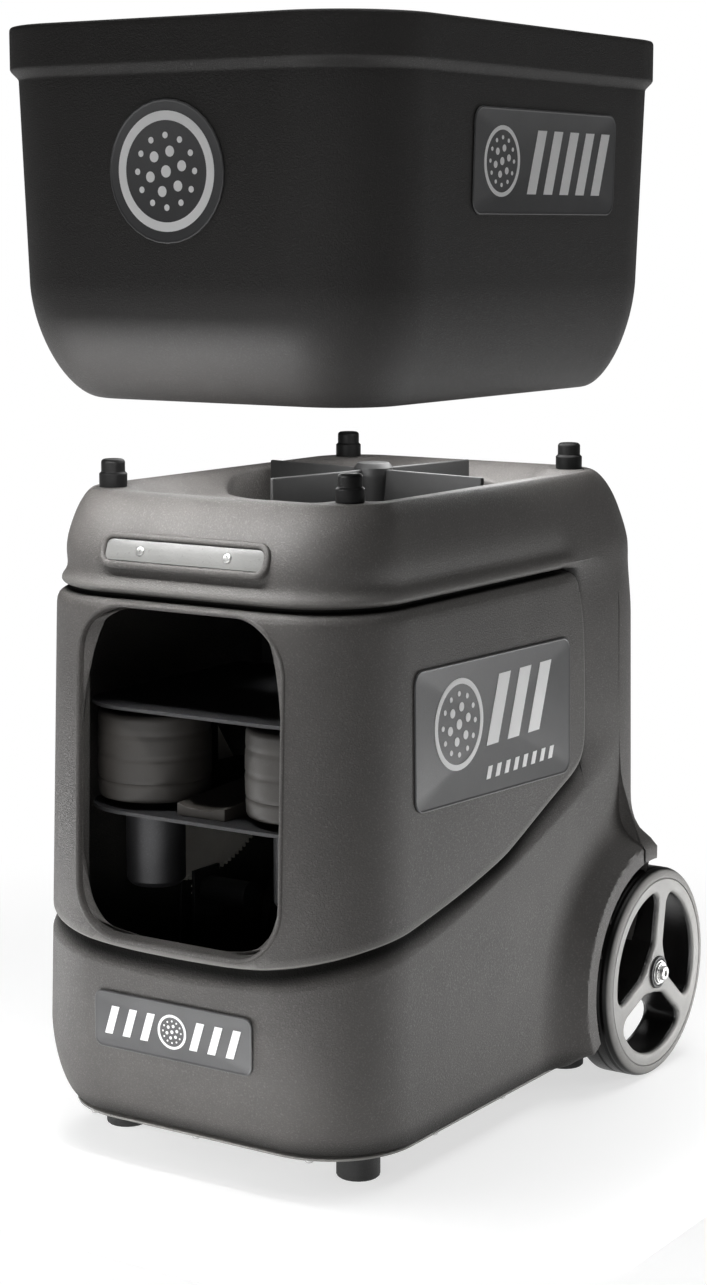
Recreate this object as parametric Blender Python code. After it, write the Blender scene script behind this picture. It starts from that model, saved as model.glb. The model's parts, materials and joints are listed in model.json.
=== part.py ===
"""Pickleball throwing machine with a lift-off hopper, built from separate solids.

Metres, +Z up. The front, with the throwing window, faces -Y, and X = 0 is the plane of symmetry.
The floor is at Z = 0. Y is counted from the middle of the four locating posts while a piece is
built, and one empty then shifts the whole machine so that its box is centred on the origin.
"""
import math

import bmesh
import bpy
from mathutils import Matrix, Vector

# Fits
SEAT = 0.0003               # between two faces that rest on each other
RUNNING = 0.0001            # radial clearance of a pin that turns in a hole
SLIDING = 0.0003            # radial clearance of a tube that slides in a sleeve
DROP_IN = 0.0005            # around a plate that drops into a recess
TINY_ROUND = 12             # sides of round pieces, from the smallest to the largest
SMALL_ROUND = 16
ROUND = 20
MID_ROUND = 24
WIDE_ROUND = 32
LEAST_CORNER = 0.004        # an inset outline keeps at least this radius
BODY_STEPS = 5              # facets of each upright corner of the body and the hopper

# Floor, feet and bottom plate
FOOT_H = 0.030
FOOT_R = 0.019
FOOT_X = 0.125
FOOT_FRONT_Y = -0.175
FOOT_REAR_Y = 0.1875
PLATE_T = 0.002

# Body shell
WALL = 0.005
BODY_HALF_W = 0.180
BODY_FRONT = -0.270
BODY_REAR = 0.286
BODY_CORNER = 0.090
ROUND_H = 0.078             # height of the rounded bottom edge
ROUND_SIDE = 0.0105         # how far that edge draws in
ROUND_FRONT = 0.034
ROUND_REAR = 0.033
ROUND_POWER = 1.7
FACE_DOWN = 0.085           # from the deck down to the top of the raised face
DRAFT_SIDE = 0.005
DRAFT_FRONT = 0.011
DRAFT_REAR = 0.004
GROOVE_H = 0.014
GROOVE_DEPTH = 0.0085
GROOVE_WALL = 0.0035
CAP_STEP = 0.0055           # the cap stands this far behind the face
DECK_Z = 0.578
DECK_T = 0.008
CREST_HALF_W = 0.149
CREST_FRONT = -0.212
CREST_REAR = 0.216
CREST_CORNER = 0.050
CREST_POWER = 1.6

# Window
WINDOW_HALF_W = 0.104
WINDOW_LOW = 0.203
WINDOW_DOWN = 0.008         # from the top of the raised face down to the window
WINDOW_CORNER = 0.045

# Top tray, posts and feed rotor
TRAY_T = 0.004
TRAY_EDGE = 0.0055          # from the crest in to the tray's recess
TRAY_LEDGE = 0.005
POST_X = 0.1235
POST_Y = 0.185
POST_R = 0.0122
POST_H = 0.024
ROTOR_Y = 0.040
ROTOR_R = 0.132
ROTOR_SWEEP = 0.0025        # from a vane's end to the bowl
ROTOR_ABOVE = 0.005         # vanes stand this far above the deck
ROTOR_TURN = -10.0
BOWL_WALL = 0.003
BOWL_DEPTH = 0.059
BOWL_FLOOR = 0.003
VANE_T = 0.006
VANE_LIFT = 0.002
HUB_R = 0.018
HUB_CAP_R = 0.0145
HUB_CAP_H = 0.0055
ROTOR_SHAFT_R = 0.005
GEARMOTOR_R = 0.0185
GEARMOTOR_H = 0.070

# Ball path
BALL_R = 0.037
DROP_R = 0.041              # ball hole and feed tube, inside
DROP_REACH = 0.083          # from the rotor's axis to the ball hole
TUBE_WALL = 0.0025
TUBE_FLANGE_R = 0.052
TUBE_FLANGE_T = 0.003
TUBE_CLEAR = 0.048          # from the head's top plate up to the feed tube

# Hopper
HOPPER_LIFT = 0.0777        # how far the photo shows it lifted off its seat
HOPPER_H = 0.310
HOPPER_Y = -0.010
HOPPER_HALF_W = 0.203
HOPPER_HALF_D = 0.262
HOPPER_CORNER = 0.085
HOPPER_WALL = 0.004
HOPPER_FLOOR = 0.005
HOPPER_ROUND_H = 0.100
HOPPER_ROUND_POWER = 1.7
HOPPER_DRAFT = 0.0095       # at the top of the rounded underside
HOPPER_STEP = 0.005         # how far the rim band stands out
HOPPER_BAND_H = 0.040
SOCKET_PLAY = 0.0006
SOCKET_WALL = 0.0035
SOCKET_TOP = 0.002
SOCKET_MARGIN = 0.0074      # from a socket to the edge of the hopper's foot
OUTLET_PLAY = 0.0055        # from a vane's end to the hopper's outlet

# Light bar
LIGHT_HALF_W = 0.0875
LIGHT_HALF_H = 0.0155
LIGHT_DOWN = 0.045          # from the deck down to the light's middle
LIGHT_T = 0.006
LIGHT_POCKET = 0.004
LENS_RIM = 0.006
LENS_T = 0.005

# Plates on the body and the hopper
BADGE_T = 0.0015
FRONT_PLATE = (0.083, 0.025, 0.130)          # half width, half height, centre height
FRONT_PLATE_CORNER = 0.008
SIDE_PLATE = ((-0.170, 0.173), (0.094, 0.182), (0.094, 0.057), (-0.170, 0.053))  # Y, depth under the face
SIDE_PLATE_CORNER = 0.012
HOPPER_PLATE = (-0.115, 0.127, 0.028, 0.115)  # Y from, Y to, depth under the rim band from, to
HOPPER_PLATE_CORNER = 0.012
HOPPER_BADGE_R = 0.0575
HOPPER_BADGE_DOWN = 0.081                     # centre's depth under the rim band

# Transport wheels
WHEEL_R = 0.100
WHEEL_Y = 0.211
WHEEL_INNER_X = 0.172
WHEEL_W = 0.040
TYRE_T = 0.010
RIM_STEP = 0.001            # the rim's face stands this far inside the tyre's
SPOKES = 3
SPOKE_W = 0.016
SPOKE_IN_R = 0.019
SPOKE_RIM = 0.0145          # solid rim between the tyre and the openings
SPOKE_ROUND = 0.014         # how far the rounding runs along each side of an outer corner
WELL_GAP = 0.009            # from the tyre out to the wheel well
WELL_SIDE = 0.006           # from the tyre's inner face to the well
WELL_WALL = 0.004
LIP_BAND = 0.017            # from the well out to the lip's crest
LIP_X = 0.205
LIP_FROM = 75.0
LIP_TO = 212.0
AXLE_R = 0.006
AXLE_END = 0.0005
AXLE_BOLT_R = 0.009
AXLE_BOLT_H = 0.0065
WASHER_R = 0.0155
WASHER_T = 0.002
BRACKET_X = 0.122
BRACKET_T = 0.003
BRACKET_HALF = 0.015

# Turntable
RING_IN_R = 0.080
RING_OUT_R = 0.100
RING_H = 0.038
TABLE_GAP_H = 0.012
TABLE_RIM = 0.0045          # from the yokes out to the turntable's edge
TABLE_HOLE_R = 0.050
TABLE_T = 0.003
YAW_RANGE = 15.0

# Gears
MODULE = 0.002
PINION_TEETH = 12
YAW_TEETH = 120
TILT_TEETH = 150
GEAR_T = 0.004
GEAR_BAND = 0.014
MESH_MARGIN = 9.0           # degrees of teeth past the end of the travel
TOOTH_TIP = 0.9             # in modules
TOOTH_ROOT = 1.15
TIP_SHARE = 0.12            # half width of a tooth, as a share of the pitch
ROOT_SHARE = 0.29
MOTOR_SHAFT_R = 0.003
YAW_MOTOR_R = 0.0165
PINION_PLAY = 0.0006        # from the yaw pinion to the turntable above it

# Yoke and tilt
TILT_DOWN_Z = 0.228         # from the deck down to the tilt axis
SECTOR_ROOM = 0.002         # between the tilt gear's sides and the plates beside it
YOKE_T = 0.003
YOKE_HALF_FOOT = 0.030
YOKE_HALF_TOP = 0.016
YOKE_FOOT_REACH = 0.025
YOKE_FOOT_RIM = 0.001       # the foot shows this much round its upright
PIN_R = 0.004
PIN_HEAD_R = 0.007
PIN_HEAD_T = 0.003
TILT_UP = 30.0
TILT_DOWN = 5.0
SECTOR_GAP = 0.001
SECTOR_HUB_R = 0.014
TILT_MOTOR_R = 0.0125
TILT_MOTOR_L = 0.050
TILT_PLATE_HALF = 0.020

# Throwing head, about its tilt axis
HEAD_PLATE_T = 0.003
HEAD_CLEAR_H = 0.088        # between the two plates
HEAD_HALF_W = 0.1325
HEAD_REAR = 0.055
HEAD_NOSE_R = 0.054
EAR_T = 0.003
EAR_HALF = 0.020
EAR_TOP = 0.018
NIP_Y = 0.145               # from the tilt axis forward to the wheels
THROW_X = 0.079
THROW_R = 0.050
THROW_CROWN = 0.003
THROW_H = 0.076
THROW_HUB_R = 0.021
THROW_BOSS_R = 0.007
THROW_MOTOR_R = 0.026
THROW_MOTOR_L = 0.073
STANDOFF_R = 0.004
STANDOFFS = ((0.0085, -0.030), (0.0225, 0.045))  # in from the head's side, Y
GUIDE_WALL = 0.0025
GUIDE_OPEN = 62.0           # half angle of the guide's open front
RAMP_HALF_W = 0.025
RAMP_RISE = 0.012
RAMP_LIP = 0.004
RAMP_FRONT = 0.185
LEAD_R = 0.0012
LEAD_PLUG = (0.016, 0.014, 0.010)
LEAD_PLACE = (0.062, -0.030)
LEAD_STRAIGHT = 0.006       # at each end, before the lead bends
LEAD_LOW = -0.095           # height of the lead's lower end
LEAD_BY = ((0.062, 0.000, 0.062), (0.062, 0.035, 0.062), (0.062, 0.061, 0.056), (0.062, 0.070, 0.032),
           (0.062, 0.071, 0.000), (0.062, 0.065, -0.053), (0.062, 0.020, -0.075), (0.068, -0.030, -0.091),
           (0.076, -0.065, -0.094))

# Battery and control box
BATTERY_FRONT = 0.112
BATTERY_REAR = 0.165
BATTERY_HALF_W = 0.075
BATTERY_H = 0.092
CONTROL_HALF_W = 0.070
CONTROL_DEPTH = 0.044
CONTROL_H = 0.120
CONTROL_ROOM = 0.012        # from the upper bar down to the control box

# Pull handle
HANDLE_IN = 0.024           # from the body's rear to the tubes
HANDLE_X = 0.085
HANDLE_R = 0.007
HANDLE_LOW = 0.120
GRIP_DROP = 0.013           # from the deck down to the grip
GRIP_R = 0.0078
SLEEVE_WALL = 0.0022
SLEEVE_LOW = 0.110
SLEEVE_DOWN = 0.093         # from the deck down to the sleeves' tops
CLAMP_H = 0.016
CLAMP_T = 0.011
CLAMP_IN = (0.040, 0.045)   # from the sleeves' lower and upper ends to the bars that tie them to the wall

# Rear controls
PANEL_HALF_W = 0.075
PANEL_LOW = 0.330
PANEL_HIGH = 0.430
PANEL_T = 0.005
PANEL_CORNER = 0.010
ROCKER = (0.020, 0.004, 0.015)
ROCKER_PLAY = 0.001
ROCKER_OUT = 0.0015
ROCKER_SWING = 6.0
ROCKER_PLACE = (0.045, 0.400)
KNOB_R = 0.012
KNOB_H = 0.012
KNOBS = {"speed_knob": (-0.045, 0.380), "feed_knob": (0.000, 0.380)}
SOCKET_PLACE = (0.045, 0.360)
CHARGE_R = 0.010
CHARGE_T = 0.004

# Heights and places that follow from the sizes above
BODY_BASE = FOOT_H + PLATE_T + SEAT
ROUND_TOP = BODY_BASE + ROUND_H
FACE_TOP = DECK_Z - FACE_DOWN
CAP_LIP = FACE_TOP + GROOVE_H
WINDOW_HIGH = FACE_TOP - WINDOW_DOWN
LIGHT_Z = DECK_Z - LIGHT_DOWN
GRIP_Z = DECK_Z - GRIP_DROP
PLATE_TOP = FOOT_H + PLATE_T
TRAY_BOTTOM = DECK_Z - TRAY_T
BOWL_R = ROTOR_R + ROTOR_SWEEP
BOWL_FLOOR_Z = DECK_Z - BOWL_DEPTH
BOWL_UNDER_Z = BOWL_FLOOR_Z - BOWL_FLOOR
VANE_TOP = DECK_Z + ROTOR_ABOVE
DROP_Y = ROTOR_Y - DROP_REACH
HOPPER_Z = DECK_Z + SEAT + HOPPER_LIFT
HOPPER_TOP = HOPPER_Z + HOPPER_H
BAND_Z = HOPPER_H - HOPPER_BAND_H          # over the hopper's foot
HOPPER_BADGE_H = BAND_Z - HOPPER_BADGE_DOWN
SOCKET_R = POST_R + SOCKET_PLAY
SOCKET_DEPTH = POST_H + SEAT + SOCKET_TOP
HOPPER_FOOT_X = POST_X + SOCKET_R + 1.4 * SOCKET_MARGIN
HOPPER_FOOT_Y = POST_Y + SOCKET_R + SOCKET_MARGIN
WHEEL_X = WHEEL_INNER_X + WHEEL_W / 2
WELL_R = WHEEL_R + WELL_GAP
LIP_R = WELL_R + LIP_BAND
SPOKE_OUT_R = WHEEL_R - TYRE_T - SPOKE_RIM
WELL_X = WHEEL_INNER_X - WELL_SIDE
AXLE_HALF = WHEEL_INNER_X + WHEEL_W + AXLE_END
RING_TOP = PLATE_TOP + SEAT + RING_H
TABLE_Z = RING_TOP + SEAT + TABLE_GAP_H
TABLE_TOP = TABLE_Z + TABLE_T
YAW_CENTRES = (YAW_TEETH + PINION_TEETH) * MODULE / 2
TILT_CENTRES = (TILT_TEETH + PINION_TEETH) * MODULE / 2
YAW_PINION_Z = TABLE_Z - PINION_PLAY - GEAR_T
YAW_MOTOR_TOP = YAW_PINION_Z - GEAR_T
TILT_Z = DECK_Z - TILT_DOWN_Z
TILT_PINION_Z = TILT_Z - TILT_CENTRES
YOKE_FOOT_TOP = TABLE_TOP + SEAT + YOKE_T
HEAD_IN = HEAD_CLEAR_H / 2
HEAD_OUT = HEAD_IN + HEAD_PLATE_T
TUBE_END_Z = TILT_Z + HEAD_OUT + TUBE_CLEAR
RAMP_REAR = math.sqrt(DROP_R ** 2 - RAMP_HALF_W ** 2) - DROP_IN
SECTOR_X = HEAD_HALF_W + EAR_T + SECTOR_GAP
YOKE_X = SECTOR_X + GEAR_T + SECTOR_ROOM
TILT_PLATE_X = SECTOR_X - SECTOR_ROOM - YOKE_T
TABLE_R = YOKE_X + YOKE_T + TABLE_RIM
HANDLE_Y = BODY_REAR - HANDLE_IN
SLEEVE_IN_R = HANDLE_R + SLIDING
SLEEVE_OUT_R = SLEEVE_IN_R + SLEEVE_WALL
SLEEVE_HIGH = DECK_Z - SLEEVE_DOWN
CLAMPS = (SLEEVE_LOW + CLAMP_IN[0], SLEEVE_HIGH - CLAMP_IN[1])
CONTROL_HIGH = CLAMPS[1] - CLAMP_H / 2 - CONTROL_ROOM
CONTROL_LOW = CONTROL_HIGH - CONTROL_H
BACK_MOST = WHEEL_Y + WHEEL_R
FRONT_MOST = HOPPER_Y - HOPPER_HALF_D
SHIFT_Y = -(BACK_MOST + FRONT_MOST) / 2

# Colour, roughness and metallic value of each finish
FINISHES = {
    "moulded": ((0.045, 0.042, 0.039), 0.62, 0.0),
    "black": ((0.012, 0.012, 0.012), 0.50, 0.0),
    "rubber": ((0.015, 0.015, 0.015), 0.85, 0.0),
    "rim": ((0.30, 0.29, 0.28), 0.45, 0.0),
    "urethane": ((0.42, 0.41, 0.38), 0.55, 0.0),
    "guide": ((0.33, 0.31, 0.27), 0.50, 0.0),
    "steel": ((0.55, 0.55, 0.55), 0.30, 1.0),
    "aluminium": ((0.62, 0.62, 0.63), 0.35, 1.0),
    "dark_metal": ((0.05, 0.05, 0.05), 0.45, 0.6),
    "lens": ((0.80, 0.80, 0.78), 0.20, 0.0),
    "badge": ((0.030, 0.030, 0.030), 0.40, 0.0),
    "nylon": ((0.75, 0.74, 0.70), 0.50, 0.0),
    "red": ((0.55, 0.02, 0.02), 0.40, 0.0),
    "battery": ((0.06, 0.06, 0.07), 0.55, 0.0),
}


# Outlines
def polar(radius, angle):
    """One point at a radius and an angle in degrees."""
    return radius * math.cos(math.radians(angle)), radius * math.sin(math.radians(angle))


def arc(radius, start, end, steps, centre=(0.0, 0.0)):
    """Points along an arc, angles in degrees, both ends included."""
    angles = [math.radians(start + (end - start) * i / steps) for i in range(steps + 1)]
    return [(centre[0] + radius * math.cos(a), centre[1] + radius * math.sin(a)) for a in angles]


def filleted(corners, radius, steps=5):
    """Outline through the corners with each one rounded to the radius, or to its own."""
    radii = radius if isinstance(radius, (list, tuple)) else [radius] * len(corners)
    outline = []
    for i, corner in enumerate(corners):
        here = Vector(corner)
        back = (Vector(corners[i - 1]) - here).normalized()
        ahead = (Vector(corners[(i + 1) % len(corners)]) - here).normalized()
        if radii[i] <= 0:
            outline.append(tuple(here))
            continue
        half = back.angle(ahead) / 2
        centre = here + (back + ahead).normalized() * radii[i] / math.sin(half)
        start = here + back * radii[i] / math.tan(half) - centre
        end = here + ahead * radii[i] / math.tan(half) - centre
        turn = math.atan2(start.x * end.y - start.y * end.x, start.dot(end))
        for k in range(steps + 1):
            outline.append(tuple(centre + Matrix.Rotation(turn * k / steps, 2) @ start))
    return outline


def rectangle(x0, x1, y0, y1, radius, steps=5):
    """Outline of a rectangle with rounded corners."""
    return filleted([(x0, y0), (x1, y0), (x1, y1), (x0, y1)], radius, steps)


def gear_outline(teeth, first, last):
    """Tooth outline of teeth first to last of a gear; tooth 0 points along +X."""
    pitch = 360.0 / teeth
    tip = (teeth / 2 + TOOTH_TIP) * MODULE
    root = (teeth / 2 - TOOTH_ROOT) * MODULE
    outline = []
    for tooth in range(first, last + 1):
        for radius, share in ((root, -ROOT_SHARE), (tip, -TIP_SHARE), (tip, TIP_SHARE), (root, ROOT_SHARE)):
            outline.append(polar(radius, (tooth + share) * pitch))
    return outline


# Meshes
def prism(outline, low, high):
    """An outline in X and Y, raised from one height to another."""
    bm = bmesh.new()
    face = bm.faces.new([bm.verts.new((x, y, low)) for x, y in outline])
    raised = bmesh.ops.extrude_face_region(bm, geom=[face])["geom"]
    lifted = [item for item in raised if isinstance(item, bmesh.types.BMVert)]
    bmesh.ops.translate(bm, verts=lifted, vec=(0, 0, high - low))
    return bm


def loft(rings):
    """Rings of points joined one to the next, with both ends closed."""
    bm = bmesh.new()
    rows = [[bm.verts.new(point) for point in ring] for ring in rings]
    for lower, upper in zip(rows, rows[1:]):
        for i in range(len(lower)):
            bm.faces.new((lower[i - 1], lower[i], upper[i], upper[i - 1]))
    bm.faces.new(rows[0])
    bm.faces.new(rows[-1])
    return bm


def turned(profile, steps=ROUND, ring=False):
    """A (radius, height) profile turned about Z; a ring's profile is a closed loop."""
    bm = bmesh.new()
    verts = [bm.verts.new((radius, 0, height)) for radius, height in profile]
    edges = [bm.edges.new(pair) for pair in zip(verts, verts[1:])]
    if ring:
        edges.append(bm.edges.new((verts[-1], verts[0])))
    bmesh.ops.spin(bm, geom=verts + edges, cent=(0, 0, 0), axis=(0, 0, 1), angle=2 * math.pi,
                   steps=steps, use_merge=True)
    return bm


def cylinder(radius, low, high, steps=ROUND):
    """A plain round bar along Z."""
    return turned([(0, low), (radius, low), (radius, high), (0, high)], steps)


def tube(inner, outer, low, high, steps=ROUND):
    """A plain tube along Z."""
    return turned([(inner, low), (outer, low), (outer, high), (inner, high)], steps, ring=True)


def block(x0, x1, y0, y1, z0, z1, edge=0.0):
    """A box between two corners, with its edges rounded where edge is set."""
    bm = prism([(x0, y0), (x1, y0), (x1, y1), (x0, y1)], z0, z1)
    if edge:
        bmesh.ops.bevel(bm, geom=bm.edges[:], offset=edge, segments=2, profile=0.5, affect="EDGES")
    return bm


def moved(bm, offset=(0, 0, 0), turn=None):
    """The same mesh, turned by a matrix and then shifted."""
    if turn is not None:
        bmesh.ops.transform(bm, matrix=turn.to_4x4(), verts=bm.verts[:])
    bmesh.ops.translate(bm, verts=bm.verts[:], vec=offset)
    return bm


HANDS = (("left", -1), ("right", 1))
ALONG_X = Matrix.Rotation(math.radians(90), 3, "Y")
ALONG_Y = Matrix.Rotation(math.radians(-90), 3, "X")


# Objects
def finish(obj, kind):
    """Give an object a material of its own."""
    colour, roughness, metallic = FINISHES[kind]
    material = bpy.data.materials.new(obj.name)
    material.use_nodes = True
    shader = material.node_tree.nodes["Principled BSDF"]
    shader.inputs["Base Color"].default_value = (*colour, 1.0)
    shader.inputs["Roughness"].default_value = roughness
    shader.inputs["Metallic"].default_value = metallic
    material.diffuse_color = (*colour, 1.0)
    obj.data.materials.append(material)


def add(name, bm, kind, parent, place=(0, 0, 0), turn=(0, 0, 0)):
    """Make a named object from a mesh, placed under its parent, angles in degrees."""
    bmesh.ops.remove_doubles(bm, verts=bm.verts[:], dist=1e-6)
    bmesh.ops.recalc_face_normals(bm, faces=bm.faces[:])
    mesh = bpy.data.meshes.new(name)
    bm.to_mesh(mesh)
    bm.free()
    mesh.shade_smooth()
    mesh.set_sharp_from_angle(angle=math.radians(35))
    obj = bpy.data.objects.new(name, mesh)
    bpy.context.scene.collection.objects.link(obj)
    obj.parent = parent
    obj.location = place
    obj.rotation_euler = [math.radians(a) for a in turn]
    if kind:
        finish(obj, kind)
    return obj


def shape(target, bm, operation="DIFFERENCE", place=(0, 0, 0), turn=(0, 0, 0)):
    """Cut a mesh out of an object, or join it on, with a Boolean."""
    name = f"{target.name}_tool_{len(target.modifiers)}"
    tool = add(name, bm, None, target.parent, place, turn)
    tool.hide_render = True
    tool.display_type = "WIRE"
    modifier = target.modifiers.new(name, "BOOLEAN")
    modifier.operation = operation
    modifier.solver = "EXACT"
    modifier.object = tool
    return tool


def axis(name, parent, place=(0, 0, 0)):
    """An empty on a joint's axis."""
    empty = bpy.data.objects.new(name, None)
    bpy.context.scene.collection.objects.link(empty)
    empty.parent = parent
    empty.location = place
    return empty


def sided(side, near, far):
    """Two distances from the middle as X limits on one side, the lower first."""
    return sorted((side * near, side * far))


# Body sections
def rounding(fraction, power):
    """Share of a rounded edge's draw-in at a share of its height."""
    return 1.0 - (1.0 - fraction ** power) ** (1.0 / power)


def body_section(z):
    """Half width, front, rear and corner radius of the shell at a height."""
    if z < ROUND_TOP:
        share = rounding(min((ROUND_TOP - z) / ROUND_H, 1.0), ROUND_POWER)
        return (BODY_HALF_W - share * ROUND_SIDE, BODY_FRONT + share * ROUND_FRONT,
                BODY_REAR - share * ROUND_REAR, BODY_CORNER - share * ROUND_SIDE)
    share = min((z - ROUND_TOP) / (FACE_TOP - ROUND_TOP), 1.0)
    half, front, rear = (BODY_HALF_W - share * DRAFT_SIDE, BODY_FRONT + share * DRAFT_FRONT,
                         BODY_REAR - share * DRAFT_REAR)
    corner = BODY_CORNER
    if z >= CAP_LIP:
        share = rounding(min((z - CAP_LIP) / (DECK_Z - CAP_LIP), 1.0), CREST_POWER)
        half, front, rear = half - CAP_STEP, front + CAP_STEP, rear - CAP_STEP
        half += share * (CREST_HALF_W - half)
        front += share * (CREST_FRONT - front)
        rear += share * (CREST_REAR - rear)
        corner += share * (CREST_CORNER - corner)
    return half, front, rear, corner


def body_ring(z, inset=0.0):
    """The shell's outline at a height, drawn in by an inset."""
    half, front, rear, corner = body_section(z)
    outline = rectangle(-half + inset, half - inset, front + inset, rear - inset,
                        max(corner - inset, LEAST_CORNER), BODY_STEPS)
    return [(x, y, z) for x, y in outline]


def rounded_heights(start, end, steps):
    """Heights that close up towards the end, where an edge turns over fastest."""
    return [start + (end - start) * math.sin(math.pi / 2 * i / steps) for i in range(steps + 1)]


def outer_body():
    """The shell's outside."""
    rings = [body_ring(z) for z in reversed(rounded_heights(ROUND_TOP, BODY_BASE, 4))]
    rings.append(body_ring(FACE_TOP))
    rings += [body_ring(z, GROOVE_DEPTH) for z in (FACE_TOP + GROOVE_H / 4, CAP_LIP - GROOVE_H / 4)]
    rings += [body_ring(z) for z in rounded_heights(CAP_LIP, DECK_Z, 6)]
    return loft(rings)


def inner_body():
    """The shell's inside, open through the bottom."""
    ceiling = DECK_Z - DECK_T
    ring = body_ring(BODY_BASE, WALL)
    rings = [[(x, y, BODY_BASE - WALL) for x, y, _ in ring], ring]
    rings += [body_ring(z, WALL) for z in (BODY_BASE + ROUND_H / 3, ROUND_TOP, FACE_TOP - GROOVE_H)]
    inset = GROOVE_DEPTH + GROOVE_WALL
    rings += [body_ring(FACE_TOP, inset)]
    rings += [body_ring(CAP_LIP, inset - CAP_STEP)]
    rings += [body_ring(z, WALL) for z in rounded_heights(CAP_LIP + GROOVE_H, ceiling, 3)]
    return loft(rings)


def well(radius, x0, x1, side):
    """A disc about the wheel's axis, between two distances from the middle."""
    return moved(cylinder(radius, min(side * x0, side * x1), max(side * x0, side * x1), WIDE_ROUND),
                 (0, WHEEL_Y, WHEEL_R), ALONG_X)


def arch_lip(side):
    """The lip that stands out round a wheel well."""
    outer = arc(LIP_R, LIP_FROM, LIP_TO, 14)
    inner = arc(WELL_R - WELL_WALL, LIP_TO, LIP_FROM, 14)
    outline = [(-z, y) for y, z in outer + inner]
    flat = prism(outline, *sided(side, WELL_X - WELL_WALL, LIP_X))
    return moved(flat, (0, WHEEL_Y, WHEEL_R), ALONG_X)


def wall_y(z):
    """Where the inside of the shell's rear wall lies at a height."""
    return body_section(z)[2] - WALL


# Root pieces
def make_shell(root):
    """Rotomoulded shell: window, wheel wells, deck opening, and holes for axle, handle and rotor."""
    shell = add("body_shell", outer_body(), "moulded", root)
    for side in (-1, 1):
        shape(shell, arch_lip(side), "UNION")
    cavity = shape(shell, inner_body())
    for side in (-1, 1):
        shape(cavity, well(WELL_R + WELL_WALL, WELL_X - WELL_WALL, LIP_X, side))
    for side in (-1, 1):
        shape(shell, well(WELL_R, WELL_X, LIP_X + WALL, side))
    window = rectangle(-WINDOW_HALF_W, WINDOW_HALF_W, -WINDOW_HIGH, -WINDOW_LOW, WINDOW_CORNER, 6)
    shape(shell, moved(prism(window, BODY_FRONT - WALL, BODY_FRONT + ROUND_FRONT), turn=ALONG_Y))
    shape(shell, prism(tray_outline(0.0), TRAY_BOTTOM - SEAT, DECK_Z + WALL))
    shape(shell, prism(tray_outline(TRAY_LEDGE), DECK_Z - 2 * DECK_T, DECK_Z + WALL))
    axle_hole = cylinder(AXLE_R + SEAT, -LIP_X, LIP_X)
    shape(shell, moved(axle_hole, (0, WHEEL_Y, WHEEL_R), ALONG_X))
    for side in (-1, 1):
        hole = cylinder(HANDLE_R + 2 * SLIDING, CAP_LIP, DECK_Z + WALL)
        shape(shell, moved(hole, (side * HANDLE_X, HANDLE_Y, 0)))
    shape(shell, racetrack(LIGHT_HALF_W + DROP_IN, LIGHT_HALF_H + DROP_IN, -LIGHT_POCKET, WALL * 2),
          place=light_place(), turn=light_turn())


def tray_outline(inset):
    """The recess that the tray drops into, drawn in by an inset."""
    edge = TRAY_EDGE + inset
    return rectangle(-CREST_HALF_W + edge, CREST_HALF_W - edge, CREST_FRONT + edge, CREST_REAR - edge,
                     CREST_CORNER - edge, BODY_STEPS)


def make_base(root):
    """Bottom plate with its notches for the wheels, and the four feet."""
    half, front, rear, corner = body_section(BODY_BASE)
    outline = rectangle(-half, half, front, rear, corner, BODY_STEPS)
    plate = add("base_plate", prism(outline, FOOT_H, PLATE_TOP), "dark_metal", root)
    for side in (-1, 1):
        shape(plate, well(WELL_R, WELL_X, LIP_X, side))
    edge = FOOT_R / 12
    profile = [(0, 0), (FOOT_R - edge, 0), (FOOT_R, edge), (FOOT_R, FOOT_H - SEAT), (0, FOOT_H - SEAT)]
    for name, y in (("front", FOOT_FRONT_Y), ("rear", FOOT_REAR_Y)):
        for hand, side in HANDS:
            add(f"foot_{name}_{hand}", turned(profile), "rubber", root, (side * FOOT_X, y, 0))


def make_tray(root):
    """Tray with the rotor's bowl, its ball hole and its shaft hole, and the four posts on it."""
    outline = tray_outline(DROP_IN)
    tray = add("top_tray", prism(outline, TRAY_BOTTOM, DECK_Z), "moulded", root)
    centre = (0, ROTOR_Y, 0)
    bowl = cylinder(BOWL_R + BOWL_WALL, BOWL_UNDER_Z, TRAY_BOTTOM + TRAY_T / 2, WIDE_ROUND)
    shape(tray, moved(bowl, centre), "UNION")
    shape(tray, moved(cylinder(BOWL_R, BOWL_FLOOR_Z, DECK_Z + WALL, WIDE_ROUND), centre))
    shape(tray, moved(cylinder(DROP_R, BOWL_UNDER_Z - WALL, BOWL_FLOOR_Z + WALL, MID_ROUND), (0, DROP_Y, 0)))
    shape(tray, moved(cylinder(ROTOR_SHAFT_R + SEAT, BOWL_UNDER_Z - WALL, BOWL_FLOOR_Z + WALL), centre))
    foot = DECK_Z + SEAT
    edge = POST_R / 3
    ridge = POST_H * 0.45
    profile = [(0, 0), (POST_R, 0), (POST_R, ridge), (POST_R - edge / 3, ridge + edge / 2),
               (POST_R - edge / 3, POST_H - edge), (POST_R - edge, POST_H), (0, POST_H)]
    for name, end in (("front", -1), ("rear", 1)):
        for hand, side in HANDS:
            add(f"locating_post_{name}_{hand}", turned(profile, SMALL_ROUND), "black", root,
                (side * POST_X, end * POST_Y, foot))


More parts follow.
